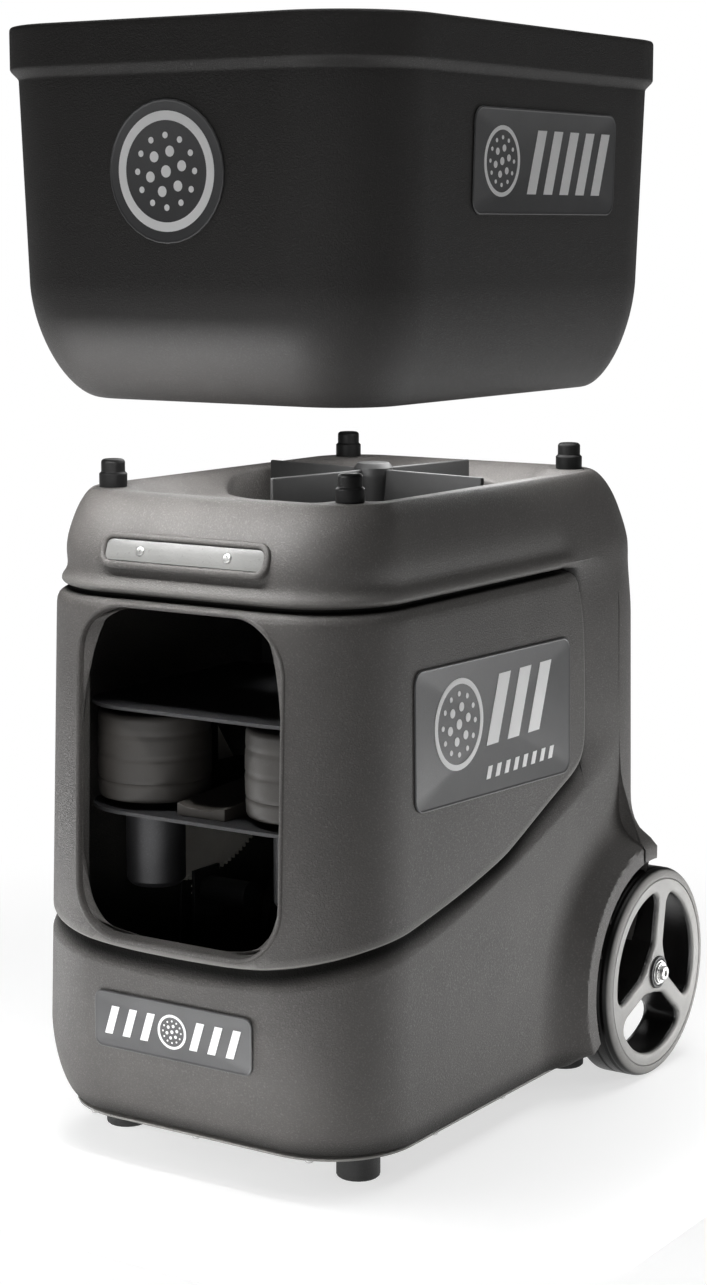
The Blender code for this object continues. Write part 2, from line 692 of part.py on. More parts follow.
def make_feed(root):
    """Rotor drive under the bowl and the tube that drops the balls."""
    top = BOWL_UNDER_Z - SEAT
    edge = GEARMOTOR_R / 8
    profile = [(0, top - GEARMOTOR_H), (GEARMOTOR_R - edge, top - GEARMOTOR_H),
               (GEARMOTOR_R, top - GEARMOTOR_H + edge), (GEARMOTOR_R, top), (0, top)]
    add("rotor_gearmotor", turned(profile), "dark_metal", root, (0, ROTOR_Y, 0))
    outer = DROP_R + TUBE_WALL
    profile = [(DROP_R, TUBE_END_Z), (outer, TUBE_END_Z), (outer, top - TUBE_FLANGE_T),
               (TUBE_FLANGE_R, top - TUBE_FLANGE_T), (TUBE_FLANGE_R, top), (DROP_R, top)]
    add("feed_tube", turned(profile, MID_ROUND, ring=True), "guide", root, (0, DROP_Y, 0))


def make_rotor(root):
    """Feed rotor: a capped hub with four vanes and a stub shaft down through the tray."""
    hub = axis("rotor_axis", root, (0, ROTOR_Y, 0))
    half = VANE_T / 2
    root_angle = math.degrees(math.asin(half / HUB_R))
    outline = []
    for quarter in range(4):
        turn = Matrix.Rotation(math.radians(90 * quarter), 2)
        vane = [(ROTOR_R, -half), (ROTOR_R, half)] + arc(HUB_R, root_angle, 90 - root_angle, 4)
        outline += [tuple(turn @ Vector(point)) for point in vane]
    rotor = add("feed_rotor", prism(outline, BOWL_FLOOR_Z + VANE_LIFT, VANE_TOP), "black", hub,
                turn=(0, 0, ROTOR_TURN))
    shape(rotor, cylinder(ROTOR_SHAFT_R, BOWL_UNDER_Z, BOWL_FLOOR_Z + 2 * VANE_LIFT), "UNION")
    top = VANE_TOP + HUB_CAP_H
    edge = HUB_CAP_R / 8
    profile = [(0, VANE_TOP - VANE_T), (HUB_CAP_R, VANE_TOP - VANE_T), (HUB_CAP_R, VANE_TOP),
               (HUB_CAP_R - edge / 2, top - edge), (HUB_CAP_R - 2 * edge, top), (0, top)]
    shape(rotor, turned(profile), "UNION")


# Light bar
def light_tangent():
    """Slope of the shoulder at the light's height, as run over rise."""
    step = LIGHT_HALF_H / 2
    return (body_section(LIGHT_Z + step)[1] - body_section(LIGHT_Z - step)[1]) / (2 * step)


def light_place():
    """The point of the shoulder that the light is centred on."""
    return (0, body_section(LIGHT_Z)[1], LIGHT_Z)


def light_turn():
    """Turn that lays a plate, drawn flat with its face up, against the shoulder."""
    return (90 - math.degrees(math.atan(light_tangent())), 0, 0)


def racetrack(half_w, half_h, low, high):
    """A plate with round ends."""
    return prism(rectangle(-half_w, half_w, -half_h, half_h, half_h * 0.98, 8), low, high)


def make_light(root):
    """Bezel and lens, laid in a pocket of the shoulder."""
    floor = SEAT - LIGHT_POCKET
    place, turn = light_place(), light_turn()
    bezel = add("light_bezel", racetrack(LIGHT_HALF_W, LIGHT_HALF_H, floor, floor + LIGHT_T), "moulded",
                root, place, turn)
    lens_w, lens_h = LIGHT_HALF_W - LENS_RIM, LIGHT_HALF_H - LENS_RIM
    shape(bezel, racetrack(lens_w + DROP_IN, lens_h + DROP_IN, floor - WALL, floor + 2 * LIGHT_T),
          place=place, turn=turn)
    add("light_lens", racetrack(lens_w, lens_h, floor, floor + LENS_T), "lens", root, place, turn)


# Blank plates
def make_body_plates(root):
    """Thin blank plates on the front and on both sides of the body."""
    half_w, half_h, z = FRONT_PLATE
    outline = rectangle(-half_w, half_w, -half_h, half_h, FRONT_PLATE_CORNER)
    front = min(body_section(z + dz)[1] for dz in (-half_h, 0, half_h))
    add("front_plate", prism(outline, SEAT, SEAT + BADGE_T), "badge", root, (0, front, z), (90, 0, 0))
    lean = math.degrees(math.atan(DRAFT_SIDE / (FACE_TOP - ROUND_TOP)))
    middle = FACE_TOP - sum(depth for _, depth in SIDE_PLATE) / len(SIDE_PLATE)
    wall = body_section(middle)[0]
    for name, side in (("side_plate_right", 1), ("side_plate_left", -1)):
        outline = filleted([(side * y, FACE_TOP - depth - middle) for y, depth in SIDE_PLATE],
                           SIDE_PLATE_CORNER)
        add(name, prism(outline, SEAT, SEAT + BADGE_T), "badge", root, (side * wall, 0, middle),
            (90 - lean, 0, side * 90))


# Transport wheels
def make_axle(root):
    """Long axle bolt across the body, the bracket that holds it, and the nut on its end."""
    along = (0, WHEEL_Y, WHEEL_R)
    face = AXLE_HALF + SEAT
    head = face + WASHER_T
    profile = [(0, -head), (WASHER_R, -head), (WASHER_R, -face), (AXLE_R, -face), (AXLE_R, AXLE_HALF),
               (0, AXLE_HALF)]
    axle = add("axle_bolt", moved(turned(profile), along, ALONG_X), "steel", root)
    end = cylinder(AXLE_BOLT_R, -head - AXLE_BOLT_H, -head + WASHER_T / 2)
    shape(axle, moved(end, along, ALONG_X), "UNION")
    nut = add("axle_nut", moved(cylinder(WASHER_R, face, head, ROUND), along, ALONG_X), "steel", root)
    end = cylinder(AXLE_BOLT_R, head - WASHER_T / 2, head + AXLE_BOLT_H)
    shape(nut, moved(end, along, ALONG_X), "UNION")
    low = PLATE_TOP + SEAT
    reach = BRACKET_X + BRACKET_T
    bracket = add("axle_bracket", block(-reach, reach, WHEEL_Y - BRACKET_HALF, WHEEL_Y + BRACKET_HALF,
                                        low, low + BRACKET_T), "dark_metal", root)
    top = WHEEL_R + BRACKET_HALF
    corners = [(-low, -BRACKET_HALF), (-low, BRACKET_HALF), (-top, BRACKET_HALF), (-top, -BRACKET_HALF)]
    plate = filleted(corners, (0, 0, BRACKET_HALF * 0.9, BRACKET_HALF * 0.9))
    for _, side in HANDS:
        upright = prism(plate, *sided(side, BRACKET_X, reach))
        shape(bracket, moved(upright, (0, WHEEL_Y, 0), ALONG_X), "UNION")
    bore = cylinder(AXLE_R + RUNNING, -WELL_X, WELL_X)
    shape(bracket, moved(bore, along, ALONG_X))


def spoke_hole(middle):
    """Outline of the opening between two spokes, with its outer corners rounded."""
    span = 180.0 / SPOKES
    half = SPOKE_W / 2

    def along_spoke(radius, side):
        """Point where a spoke's edge crosses a radius."""
        return Vector(polar(radius, middle + side * (span - math.degrees(math.asin(half / radius)))))

    trim = math.degrees(SPOKE_ROUND / SPOKE_OUT_R)
    reach = span - math.degrees(math.asin(half / SPOKE_OUT_R)) - trim
    outer_run = [Vector(point) for point in arc(SPOKE_OUT_R, middle - reach, middle + reach, 5)]
    outline = []
    for side, end in ((1, outer_run[-1]), (-1, outer_run[0])):
        corner = along_spoke(SPOKE_OUT_R, side)
        back = along_spoke(SPOKE_OUT_R - SPOKE_ROUND, side)
        run = [(end + 2 * corner + back) / 4, back, along_spoke(SPOKE_IN_R, side)]
        outline += run if side == 1 else reversed(run)
    return [tuple(point) for point in outer_run + outline]


def make_wheel(name, side, root):
    """Rim with three spokes and its tyre, on the axle."""
    hub = axis(f"wheel_{name}_axis", root, (side * WHEEL_X, WHEEL_Y, WHEEL_R))
    turn = (0, 90, 0)
    half = WHEEL_W / 2 - RIM_STEP
    seat = WHEEL_R - TYRE_T
    rim = add(f"wheel_rim_{name}", tube(AXLE_R + RUNNING, seat - SEAT, -half, half, WIDE_ROUND), "rim", hub,
              turn=turn)
    for i in range(SPOKES):
        # local X points down once the rim is turned onto its axle, so a spoke points up at 180
        middle = 360.0 / SPOKES * i
        shape(rim, prism(spoke_hole(middle), -WHEEL_W, WHEEL_W), turn=turn)
    wide, edge = WHEEL_W / 2, TYRE_T * 0.4
    profile = [(seat, -wide), (WHEEL_R - edge, -wide), (WHEEL_R, -wide + edge), (WHEEL_R, wide - edge),
               (WHEEL_R - edge, wide), (seat, wide)]
    add(f"wheel_tyre_{name}", turned(profile, WIDE_ROUND, ring=True), "rubber", hub, turn=turn)


# Turntable and its drive
def make_turntable(root):
    """Bearing ring and yaw motor on the bottom plate, and the toothed turntable."""
    low = PLATE_TOP + SEAT
    place = (0, DROP_Y, 0)
    add("bearing_ring", tube(RING_IN_R, RING_OUT_R, low, RING_TOP, WIDE_ROUND), "dark_metal", root, place)
    table = axis("yaw_axis", root, place)
    under = RING_TOP + SEAT
    profile = [(TABLE_HOLE_R, TABLE_Z), (RING_IN_R, TABLE_Z), (RING_IN_R, under), (RING_OUT_R, under),
               (RING_OUT_R, TABLE_Z), (TABLE_R, TABLE_Z), (TABLE_R, TABLE_TOP), (TABLE_HOLE_R, TABLE_TOP)]
    plate = add("turntable", turned(profile, WIDE_ROUND, ring=True), "dark_metal", table)
    reach = math.ceil((YAW_RANGE + MESH_MARGIN) * YAW_TEETH / 360.0)
    span = (reach + ROOT_SHARE) * 360.0 / YAW_TEETH
    inner = YAW_TEETH / 2 * MODULE - GEAR_BAND
    outline = gear_outline(YAW_TEETH, -reach, reach) + arc(inner, span, -span, 12)
    shape(plate, prism(outline, YAW_PINION_Z, TABLE_Z + TABLE_T / 2), "UNION", turn=(0, 0, 90))
    motor_y = DROP_Y + YAW_CENTRES
    add("yaw_motor", cylinder(YAW_MOTOR_R, low, YAW_MOTOR_TOP), "dark_metal", root, (0, motor_y, 0))
    spin = axis("yaw_pinion_axis", root, (0, motor_y, 0))
    pinion = add("yaw_pinion", prism(pinion_outline(), YAW_PINION_Z, YAW_PINION_Z + GEAR_T), "nylon", spin)
    shaft = cylinder(MOTOR_SHAFT_R, YAW_MOTOR_TOP + SEAT, YAW_PINION_Z + GEAR_T / 2, TINY_ROUND)
    shape(pinion, shaft, "UNION")
    return table


def pinion_outline():
    """Pinion with a gap, not a tooth, on the X and Y axes."""
    turn = Matrix.Rotation(math.pi / PINION_TEETH, 2)
    return [tuple(turn @ Vector(point)) for point in gear_outline(PINION_TEETH, 0, PINION_TEETH - 1)]


def make_yoke(table):
    """Two upright plates that carry the head on its tilt pins."""
    foot = TABLE_TOP + SEAT
    yokes = {}
    for hand, side in HANDS:
        x0, x1 = sided(side, YOKE_X, YOKE_X + YOKE_T)
        low = foot + YOKE_T / 2
        corners = [(-low, -YOKE_HALF_FOOT), (-low, YOKE_HALF_FOOT),
                   (-TILT_Z - YOKE_HALF_TOP, YOKE_HALF_TOP), (-TILT_Z - YOKE_HALF_TOP, -YOKE_HALF_TOP)]
        top = YOKE_HALF_TOP * 0.8
        upright = moved(prism(filleted(corners, (0, 0, top, top)), x0, x1), turn=ALONG_X)
        yoke = yokes[hand] = add(f"yoke_{hand}", upright, "dark_metal", table)
        f0, f1 = sided(side, YOKE_X - YOKE_FOOT_REACH, YOKE_X + YOKE_T + YOKE_FOOT_RIM)
        half = YOKE_HALF_FOOT + YOKE_FOOT_RIM
        shape(yoke, block(f0, f1, -half, half, foot, YOKE_FOOT_TOP), "UNION")
        hole = cylinder(PIN_R + RUNNING, *sided(side, YOKE_X - WALL, YOKE_X + YOKE_T + WALL))
        shape(yoke, moved(hole, (0, 0, TILT_Z), ALONG_X))
        under_head = YOKE_X + YOKE_T + SEAT
        head = under_head + PIN_HEAD_T
        profile = [(0, HEAD_HALF_W), (PIN_R, HEAD_HALF_W), (PIN_R, under_head), (PIN_HEAD_R, under_head),
                   (PIN_HEAD_R, head), (0, head)]
        pin = turned([(r, side * x) for r, x in profile])
        add(f"tilt_pin_{hand}", moved(pin, turn=ALONG_X), "steel", table, (0, 0, TILT_Z))
    return yokes["left"]


def make_tilt_drive(table, yoke):
    """Tilt motor on the left yoke's inner upright, with its pinion."""
    low = YOKE_FOOT_TOP - YOKE_T / 2
    inner, outer = TILT_PLATE_X, TILT_PLATE_X + YOKE_T
    top = TILT_PINION_Z + TILT_PLATE_HALF
    shape(yoke, block(-outer, -inner, -TILT_PLATE_HALF, TILT_PLATE_HALF, low, top), "UNION")
    hole = cylinder(MOTOR_SHAFT_R + SEAT, -outer - WALL, -inner + WALL)
    shape(yoke, moved(hole, (0, 0, TILT_PINION_Z), ALONG_X))
    face = inner - SEAT
    motor = cylinder(TILT_MOTOR_R, -face, -face + TILT_MOTOR_L)
    add("tilt_motor", moved(motor, turn=ALONG_X), "dark_metal", table, (0, 0, TILT_PINION_Z))
    spin = axis("tilt_pinion_axis", table, (0, 0, TILT_PINION_Z))
    x0, x1 = -SECTOR_X - GEAR_T, -SECTOR_X
    pinion = add("tilt_pinion", moved(prism(pinion_outline(), x0, x1), turn=ALONG_X), "nylon", spin)
    shaft = cylinder(MOTOR_SHAFT_R, -SECTOR_X - GEAR_T / 2, -face - SEAT, TINY_ROUND)
    shape(pinion, moved(shaft, turn=ALONG_X), "UNION")


# Throwing head
def head_outline(half_w):
    """The head's plates: square behind, rounded about the wheels in front."""
    left = arc(HEAD_NOSE_R, 180, 270, 6, (-THROW_X, -NIP_Y))
    right = arc(HEAD_NOSE_R, 270, 360, 6, (THROW_X, -NIP_Y))
    rear = [(half_w, -EAR_HALF), (half_w, HEAD_REAR), (-half_w, HEAD_REAR), (-half_w, -EAR_HALF)]
    return left + right + rear


def make_head(table):
    """Head frame, top plate on its four legs, and the tilt sector."""
    head = axis("tilt_axis", table, (0, 0, TILT_Z))
    floor = prism(head_outline(HEAD_HALF_W + EAR_T), -HEAD_OUT, -HEAD_IN)
    frame = add("head_frame", floor, "dark_metal", head)
    corners = [(HEAD_OUT, -EAR_HALF), (HEAD_OUT, EAR_HALF), (-EAR_TOP, EAR_HALF), (-EAR_TOP, -EAR_HALF)]
    for side in (-1, 1):
        ear = filleted(corners, (0, 0, EAR_TOP * 0.6, EAR_TOP * 0.6))
        x0, x1 = sided(side, HEAD_HALF_W, HEAD_HALF_W + EAR_T)
        shape(frame, moved(prism(ear, x0, x1), turn=ALONG_X), "UNION")
        hole = cylinder(PIN_R + RUNNING, *sided(side, HEAD_HALF_W - WALL, HEAD_HALF_W + 2 * EAR_T))
        shape(frame, moved(hole, turn=ALONG_X))
        shaft = cylinder(THROW_BOSS_R + WALL / 4, -HEAD_OUT - WALL, -HEAD_IN + WALL)
        shape(frame, moved(shaft, (side * THROW_X, -NIP_Y, 0)))
    cover = add("head_top_plate", prism(head_outline(HEAD_HALF_W), HEAD_IN, HEAD_OUT), "dark_metal", head)
    shape(cover, cylinder(DROP_R, HEAD_IN - WALL, HEAD_OUT + WALL, MID_ROUND))
    for _, side in HANDS:
        for inset, y in STANDOFFS:
            x = HEAD_HALF_W - inset
            leg = cylinder(STANDOFF_R, -HEAD_IN + SEAT, HEAD_IN + HEAD_PLATE_T / 2, TINY_ROUND)
            shape(cover, moved(leg, (side * x, y, 0)), "UNION")
    first = -math.ceil((TILT_DOWN + MESH_MARGIN) * TILT_TEETH / 360.0)
    last = math.ceil((TILT_UP + MESH_MARGIN) * TILT_TEETH / 360.0)
    boss = arc(SECTOR_HUB_R, 90 + 20, 270 - 20, 8)
    outline = gear_outline(TILT_TEETH, first, last) + boss
    sector = add("tilt_sector", moved(prism(outline, -SECTOR_X - GEAR_T, -SECTOR_X + SECTOR_GAP - SEAT),
                                      turn=ALONG_X), "nylon", head)
    shape(sector, moved(cylinder(PIN_R + RUNNING, -SECTOR_X - 2 * GEAR_T, -SECTOR_X + GEAR_T), turn=ALONG_X))
    return head


def make_ball_path(head):
    """C-shaped guide under the ball hole and the ramp that leads to the wheels."""
    outer = DROP_R + GUIDE_WALL
    start, end = -90 + GUIDE_OPEN, 270 - GUIDE_OPEN
    outline = arc(outer, start, end, 16) + arc(DROP_R, end, start, 16)
    add("ball_guide", prism(outline, -HEAD_IN + SEAT, HEAD_IN - SEAT), "guide", head)
    rings = []
    for y, rise in ((RAMP_REAR, RAMP_RISE), (-RAMP_FRONT, 0.0)):
        top = -BALL_R + rise
        low = -HEAD_IN + SEAT
        w = RAMP_HALF_W
        section = [(-w, low), (w, low), (w, top + RAMP_LIP), (w / 2, top + RAMP_LIP / 4), (0, top),
                   (-w / 2, top + RAMP_LIP / 4), (-w, top + RAMP_LIP)]
        rings.append([(x, y, z) for x, z in section])
    add("ball_ramp", loft(rings), "guide", head)


def make_throw_wheels(head):
    """Two crowned throwing wheels, each on its own motor under the head."""
    half = THROW_H / 2
    edge = THROW_R - THROW_CROWN
    cup = half - THROW_CROWN
    profile = [(0, half), (THROW_HUB_R, half), (THROW_HUB_R, cup), (edge * 0.8, cup), (edge * 0.85, half),
               (edge, half), (THROW_R - THROW_CROWN / 4, half * 0.6), (THROW_R, 0),
               (THROW_R - THROW_CROWN / 4, -half * 0.6), (edge, -half), (THROW_BOSS_R, -half),
               (THROW_BOSS_R, -HEAD_OUT), (0, -HEAD_OUT)]
    for name, side in (("left", -1), ("right", 1)):
        place = (side * THROW_X, -NIP_Y, 0)
        spin = axis(f"throw_{name}_axis", head, place)
        add(f"throw_wheel_{name}", turned(profile, ROUND), "urethane", spin)
        top = -HEAD_OUT - SEAT
        low = top - THROW_MOTOR_L
        cap = THROW_MOTOR_R / 6
        can = [(0, low), (THROW_MOTOR_R / 3, low), (THROW_MOTOR_R / 3, low + cap / 2),
               (THROW_MOTOR_R - cap, low + cap / 2), (THROW_MOTOR_R, low + cap * 1.5),
               (THROW_MOTOR_R, top), (0, top)]
        add(f"throw_motor_{name}", turned(can), "dark_metal", head, place)


def smooth_route(points, steps=3):
    """Points along a Catmull-Rom curve through the route's own points."""
    knots = [Vector(p) for p in points]
    knots = [2 * knots[0] - knots[1]] + knots + [2 * knots[-1] - knots[-2]]
    path = []
    for a, b, c, d in zip(knots, knots[1:], knots[2:], knots[3:]):
        for i in range(steps):
            t = i / steps
            path.append(0.5 * (2 * b + (c - a) * t + (2 * a - 5 * b + 4 * c - d) * t ** 2
                               + (3 * b - a - 3 * c + d) * t ** 3))
    return path + [knots[-2]]


def add_lead(name, route, kind, head):
    """A thin wire along a route."""
    curve = bpy.data.curves.new(name, "CURVE")
    curve.dimensions = "3D"
    curve.bevel_depth = LEAD_R
    curve.bevel_resolution = 1
    curve.use_fill_caps = True
    path = smooth_route(route)
    spline = curve.splines.new("POLY")
    spline.points.add(len(path) - 1)
    for point, place in zip(spline.points, path):
        point.co = (*place, 1.0)
    lead = bpy.data.objects.new(name, curve)
    bpy.context.scene.collection.objects.link(lead)
    lead.parent = head
    finish(lead, kind)


def make_lead(head):
    """Plug on the head's top plate and the wire that loops from it down to a motor."""
    length, depth, height = LEAD_PLUG
    x, y = LEAD_PLACE
    low = HEAD_OUT + SEAT
    add("lead_plug", block(x - length / 2, x + length / 2, y - depth / 2, y + depth / 2,
                           low, low + height, height / 10), "red", head)
    start = (x, y + depth / 2 + SEAT, low + height / 2)
    end = (THROW_X, -NIP_Y + THROW_MOTOR_R + SEAT, LEAD_LOW)
    leave = (x, start[1] + LEAD_STRAIGHT, start[2])
    arrive = (THROW_X, end[1] + 2 * LEAD_STRAIGHT, LEAD_LOW)
    add_lead("red_lead", [start, leave, *LEAD_BY, arrive, end], "red", head)


# Battery, control box, handle and rear controls
def make_inside(root):
    """Battery on the bottom plate and the control box on the rear wall."""
    low = PLATE_TOP + SEAT
    battery = block(-BATTERY_HALF_W, BATTERY_HALF_W, BATTERY_FRONT, BATTERY_REAR, low, low + BATTERY_H, 0.003)
    add("battery", battery, "battery", root)
    back = wall_y(CONTROL_HIGH) - SEAT
    box = block(-CONTROL_HALF_W, CONTROL_HALF_W, back - CONTROL_DEPTH, back, CONTROL_LOW, CONTROL_HIGH, 0.003)
    add("control_box", box, "black", root)


def make_handle(root):
    """Two sleeves clamped inside the rear wall and the handle that slides in them."""
    whole = None
    for side in (-1, 1):
        place = (side * HANDLE_X, HANDLE_Y, 0)
        sleeve = moved(cylinder(SLEEVE_OUT_R, SLEEVE_LOW, SLEEVE_HIGH, SMALL_ROUND), place)
        if whole is None:
            whole = add("handle_sleeves", sleeve, "aluminium", root)
        else:
            shape(whole, sleeve, "UNION")
    for z in CLAMPS:
        back = min(wall_y(z), wall_y(z + CLAMP_H)) - SEAT
        shape(whole, block(-HANDLE_X, HANDLE_X, back - CLAMP_T, back, z, z + CLAMP_H), "UNION")
    for side in (-1, 1):
        bore = cylinder(SLEEVE_IN_R, SLEEVE_LOW - WALL, SLEEVE_HIGH + WALL, SMALL_ROUND)
        shape(whole, moved(bore, (side * HANDLE_X, HANDLE_Y, 0)))
    slide = axis("handle_axis", root, (0, HANDLE_Y, 0))
    legs = [moved(cylinder(HANDLE_R, HANDLE_LOW, GRIP_Z, SMALL_ROUND), (side * HANDLE_X, 0, 0))
            for side in (-1, 1)]
    handle = add("pull_handle", legs[0], "black", slide)
    shape(handle, legs[1], "UNION")
    reach = HANDLE_X + 1.5 * HANDLE_R
    edge = GRIP_R / 4
    profile = [(0, -reach), (GRIP_R - edge, -reach), (GRIP_R, edge - reach), (GRIP_R, reach - edge),
               (GRIP_R - edge, reach), (0, reach)]
    grip = moved(turned(profile, SMALL_ROUND), (0, 0, GRIP_Z), ALONG_X)
    shape(handle, grip, "UNION")


def make_controls(root):
    """Rear panel with a power rocker, two knobs and the charge socket."""
    wall = max(body_section(z)[2] for z in (PANEL_LOW, PANEL_HIGH)) + SEAT
    face = wall + PANEL_T
    outline = rectangle(-PANEL_HALF_W, PANEL_HALF_W, -PANEL_HIGH, -PANEL_LOW, PANEL_CORNER)
    panel = add("control_panel", moved(prism(outline, wall, face), turn=ALONG_Y), "badge", root)
    long_x, thick, long_z = ROCKER
    x, z = ROCKER_PLACE
    gap = ROCKER_PLAY
    shape(panel, block(x - long_x / 2 - gap, x + long_x / 2 + gap, wall - WALL, face + WALL,
                       z - long_z / 2 - gap, z + long_z / 2 + gap))
    pivot = axis("rocker_axis", root, (x, wall + PANEL_T / 2 + ROCKER_OUT, z))
    rocker = block(-long_x / 2, long_x / 2, -thick / 2, thick / 2, -long_z / 2, long_z / 2, thick / 8)
    add("power_rocker", rocker, "black", pivot, turn=(-ROCKER_SWING, 0, 0))
    for name, (x, z) in KNOBS.items():
        spin = axis(f"{name}_axis", root, (x, face + SEAT, z))
        edge = KNOB_R / 8
        profile = [(0, 0), (KNOB_R, 0), (KNOB_R * 0.92, KNOB_H - edge), (KNOB_R * 0.85, KNOB_H), (0, KNOB_H)]
        knob = add(name, turned(profile), "black", spin, turn=(-90, 0, 0))
        pointer = block(-edge / 2, edge / 2, 0, KNOB_R, KNOB_H / 3, KNOB_H + edge / 2)
        shape(knob, pointer, "UNION", turn=(-90, 0, 0))
    x, z = SOCKET_PLACE
    inner = CHARGE_R * 0.6
    profile = [(0, 0), (CHARGE_R, 0), (CHARGE_R, CHARGE_T), (inner, CHARGE_T), (inner, CHARGE_T / 3),
               (0, CHARGE_T / 3)]
    add("charge_socket", turned(profile), "black", root, (x, face + SEAT, z), (-90, 0, 0))


# Hopper
def hopper_ring(height, inset=0.0):
    """The hopper's outline at a height over its foot, drawn in by an inset."""
    band = BAND_Z
    if height >= band:
        share, draft = 0.0, 0.0
    elif height >= HOPPER_ROUND_H:
        share = 0.0
        rise = (height - HOPPER_ROUND_H) / (band - HOPPER_ROUND_H)
        draft = HOPPER_DRAFT + (HOPPER_STEP - HOPPER_DRAFT) * rise
    else:
        share = rounding((HOPPER_ROUND_H - height) / HOPPER_ROUND_H, HOPPER_ROUND_POWER)
        draft = HOPPER_DRAFT
    half = HOPPER_HALF_W - draft
    front = HOPPER_Y - HOPPER_HALF_D + draft
    rear = HOPPER_Y + HOPPER_HALF_D - draft
    half += share * (HOPPER_FOOT_X - half)
    front += share * (-HOPPER_FOOT_Y - front)
    rear += share * (HOPPER_FOOT_Y - rear)
    corner = HOPPER_CORNER - draft - share * (HOPPER_CORNER - CREST_CORNER) - inset
    outline = rectangle(-half + inset, half - inset, front + inset, rear - inset,
                        max(corner, LEAST_CORNER), BODY_STEPS)
    return [(x, y, HOPPER_Z + height) for x, y in outline]


def make_hopper(root):
    """Hopper shell with its outlet and post sockets, and its blank badge and plates."""
    lift = axis("hopper_axis", root)
    band = BAND_Z
    curve = list(reversed(rounded_heights(HOPPER_ROUND_H, 0.0, 5)))
    outside = [hopper_ring(h) for h in curve + [band - HOPPER_STEP, band, HOPPER_H]]
    hopper = add("hopper_shell", loft(outside), "moulded", lift)
    floor = HOPPER_FLOOR
    inner_heights = [floor] + [h for h in curve if h > floor] + [band - HOPPER_STEP]
    inside = [hopper_ring(h, HOPPER_WALL) for h in inner_heights]
    top = [hopper_ring(h, HOPPER_WALL) for h in (band + HOPPER_STEP, HOPPER_H)]
    mouth = [[(x, y, z + WALL) for x, y, z in top[-1]]]
    cavity = shape(hopper, loft(inside + top + mouth))
    boss_top = HOPPER_Z + SOCKET_DEPTH + SOCKET_WALL
    for sx in (-1, 1):
        for sy in (-1, 1):
            place = (sx * POST_X, sy * POST_Y, 0)
            boss = cylinder(SOCKET_R + SOCKET_WALL, HOPPER_Z - WALL, boss_top, SMALL_ROUND)
            shape(cavity, moved(boss, place))
    for sx in (-1, 1):
        for sy in (-1, 1):
            place = (sx * POST_X, sy * POST_Y, 0)
            socket = cylinder(SOCKET_R, HOPPER_Z - WALL, HOPPER_Z + SOCKET_DEPTH, SMALL_ROUND)
            shape(hopper, moved(socket, place))
    outlet = cylinder(ROTOR_R + OUTLET_PLAY, HOPPER_Z - WALL, HOPPER_Z + floor + WALL, WIDE_ROUND)
    shape(hopper, moved(outlet, (0, ROTOR_Y, 0)))
    lean = math.degrees(math.atan((HOPPER_DRAFT - HOPPER_STEP) / (band - HOPPER_ROUND_H)))
    y0, y1, z1, z0 = HOPPER_PLATE[0], HOPPER_PLATE[1], BAND_Z - HOPPER_PLATE[2], BAND_Z - HOPPER_PLATE[3]
    middle = (z0 + z1) / 2
    wall = max(x for x, _, _ in hopper_ring(middle))
    for name, side in (("hopper_plate_right", 1), ("hopper_plate_left", -1)):
        outline = rectangle(*sorted((side * y0, side * y1)), z0 - middle, z1 - middle, HOPPER_PLATE_CORNER)
        add(name, prism(outline, SEAT, SEAT + BADGE_T), "badge", lift,
            (side * wall, 0, HOPPER_Z + middle), (90 + lean, 0, side * 90))
    front = min(y for _, y, _ in hopper_ring(HOPPER_BADGE_H))
    add("hopper_badge", cylinder(HOPPER_BADGE_R, SEAT, SEAT + BADGE_T, WIDE_ROUND), "badge", lift,
        (0, front, HOPPER_Z + HOPPER_BADGE_H), (90 + lean, 0, 0))


def main():
    """Clear the scene and build every piece."""
    for old in list(bpy.data.objects):
        bpy.data.objects.remove(old, do_unlink=True)
    root = axis("machine", None, (0, SHIFT_Y, 0))
    make_shell(root)
    make_base(root)
    make_tray(root)
    make_feed(root)
    make_rotor(root)
    make_light(root)
    make_body_plates(root)
    make_axle(root)
    make_wheel("left", -1, root)
    make_wheel("right", 1, root)
    table = make_turntable(root)
    yoke = make_yoke(table)
    make_tilt_drive(table, yoke)
    head = make_head(table)
    make_ball_path(head)
    make_throw_wheels(head)
    make_lead(head)
    make_inside(root)
    make_handle(root)
    make_controls(root)
    make_hopper(root)


main()
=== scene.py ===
"""Looks for the pickleball machine: fine surfaces, materials, floor, lamps and camera.

Metres, +Z up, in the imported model's frame. The front, with the window, faces -Y. Surfaces are worked
out in "machine" Y, counted from the middle of the four locating posts, and moved to their place last.
"""
import json
import math

import bmesh
import bpy
import numpy as np
from bpy.props import FloatProperty, FloatVectorProperty, PointerProperty
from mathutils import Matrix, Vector


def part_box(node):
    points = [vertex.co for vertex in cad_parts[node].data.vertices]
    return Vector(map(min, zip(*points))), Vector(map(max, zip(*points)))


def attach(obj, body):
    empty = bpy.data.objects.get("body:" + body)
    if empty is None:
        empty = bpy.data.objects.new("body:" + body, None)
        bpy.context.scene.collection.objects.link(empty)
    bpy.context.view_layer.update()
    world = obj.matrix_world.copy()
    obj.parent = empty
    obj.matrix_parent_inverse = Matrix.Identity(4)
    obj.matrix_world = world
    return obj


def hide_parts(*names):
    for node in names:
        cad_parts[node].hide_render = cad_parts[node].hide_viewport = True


bl_info = {
    "name": "Pickleball machine",
    "version": (1, 0, 0),
    "blender": (4, 5, 0),
    "location": "3D View > Sidebar > Pickleball machine",
    "description": "Dresses the packed pickleball machine with fine surfaces and materials",
    "category": "Object",
}

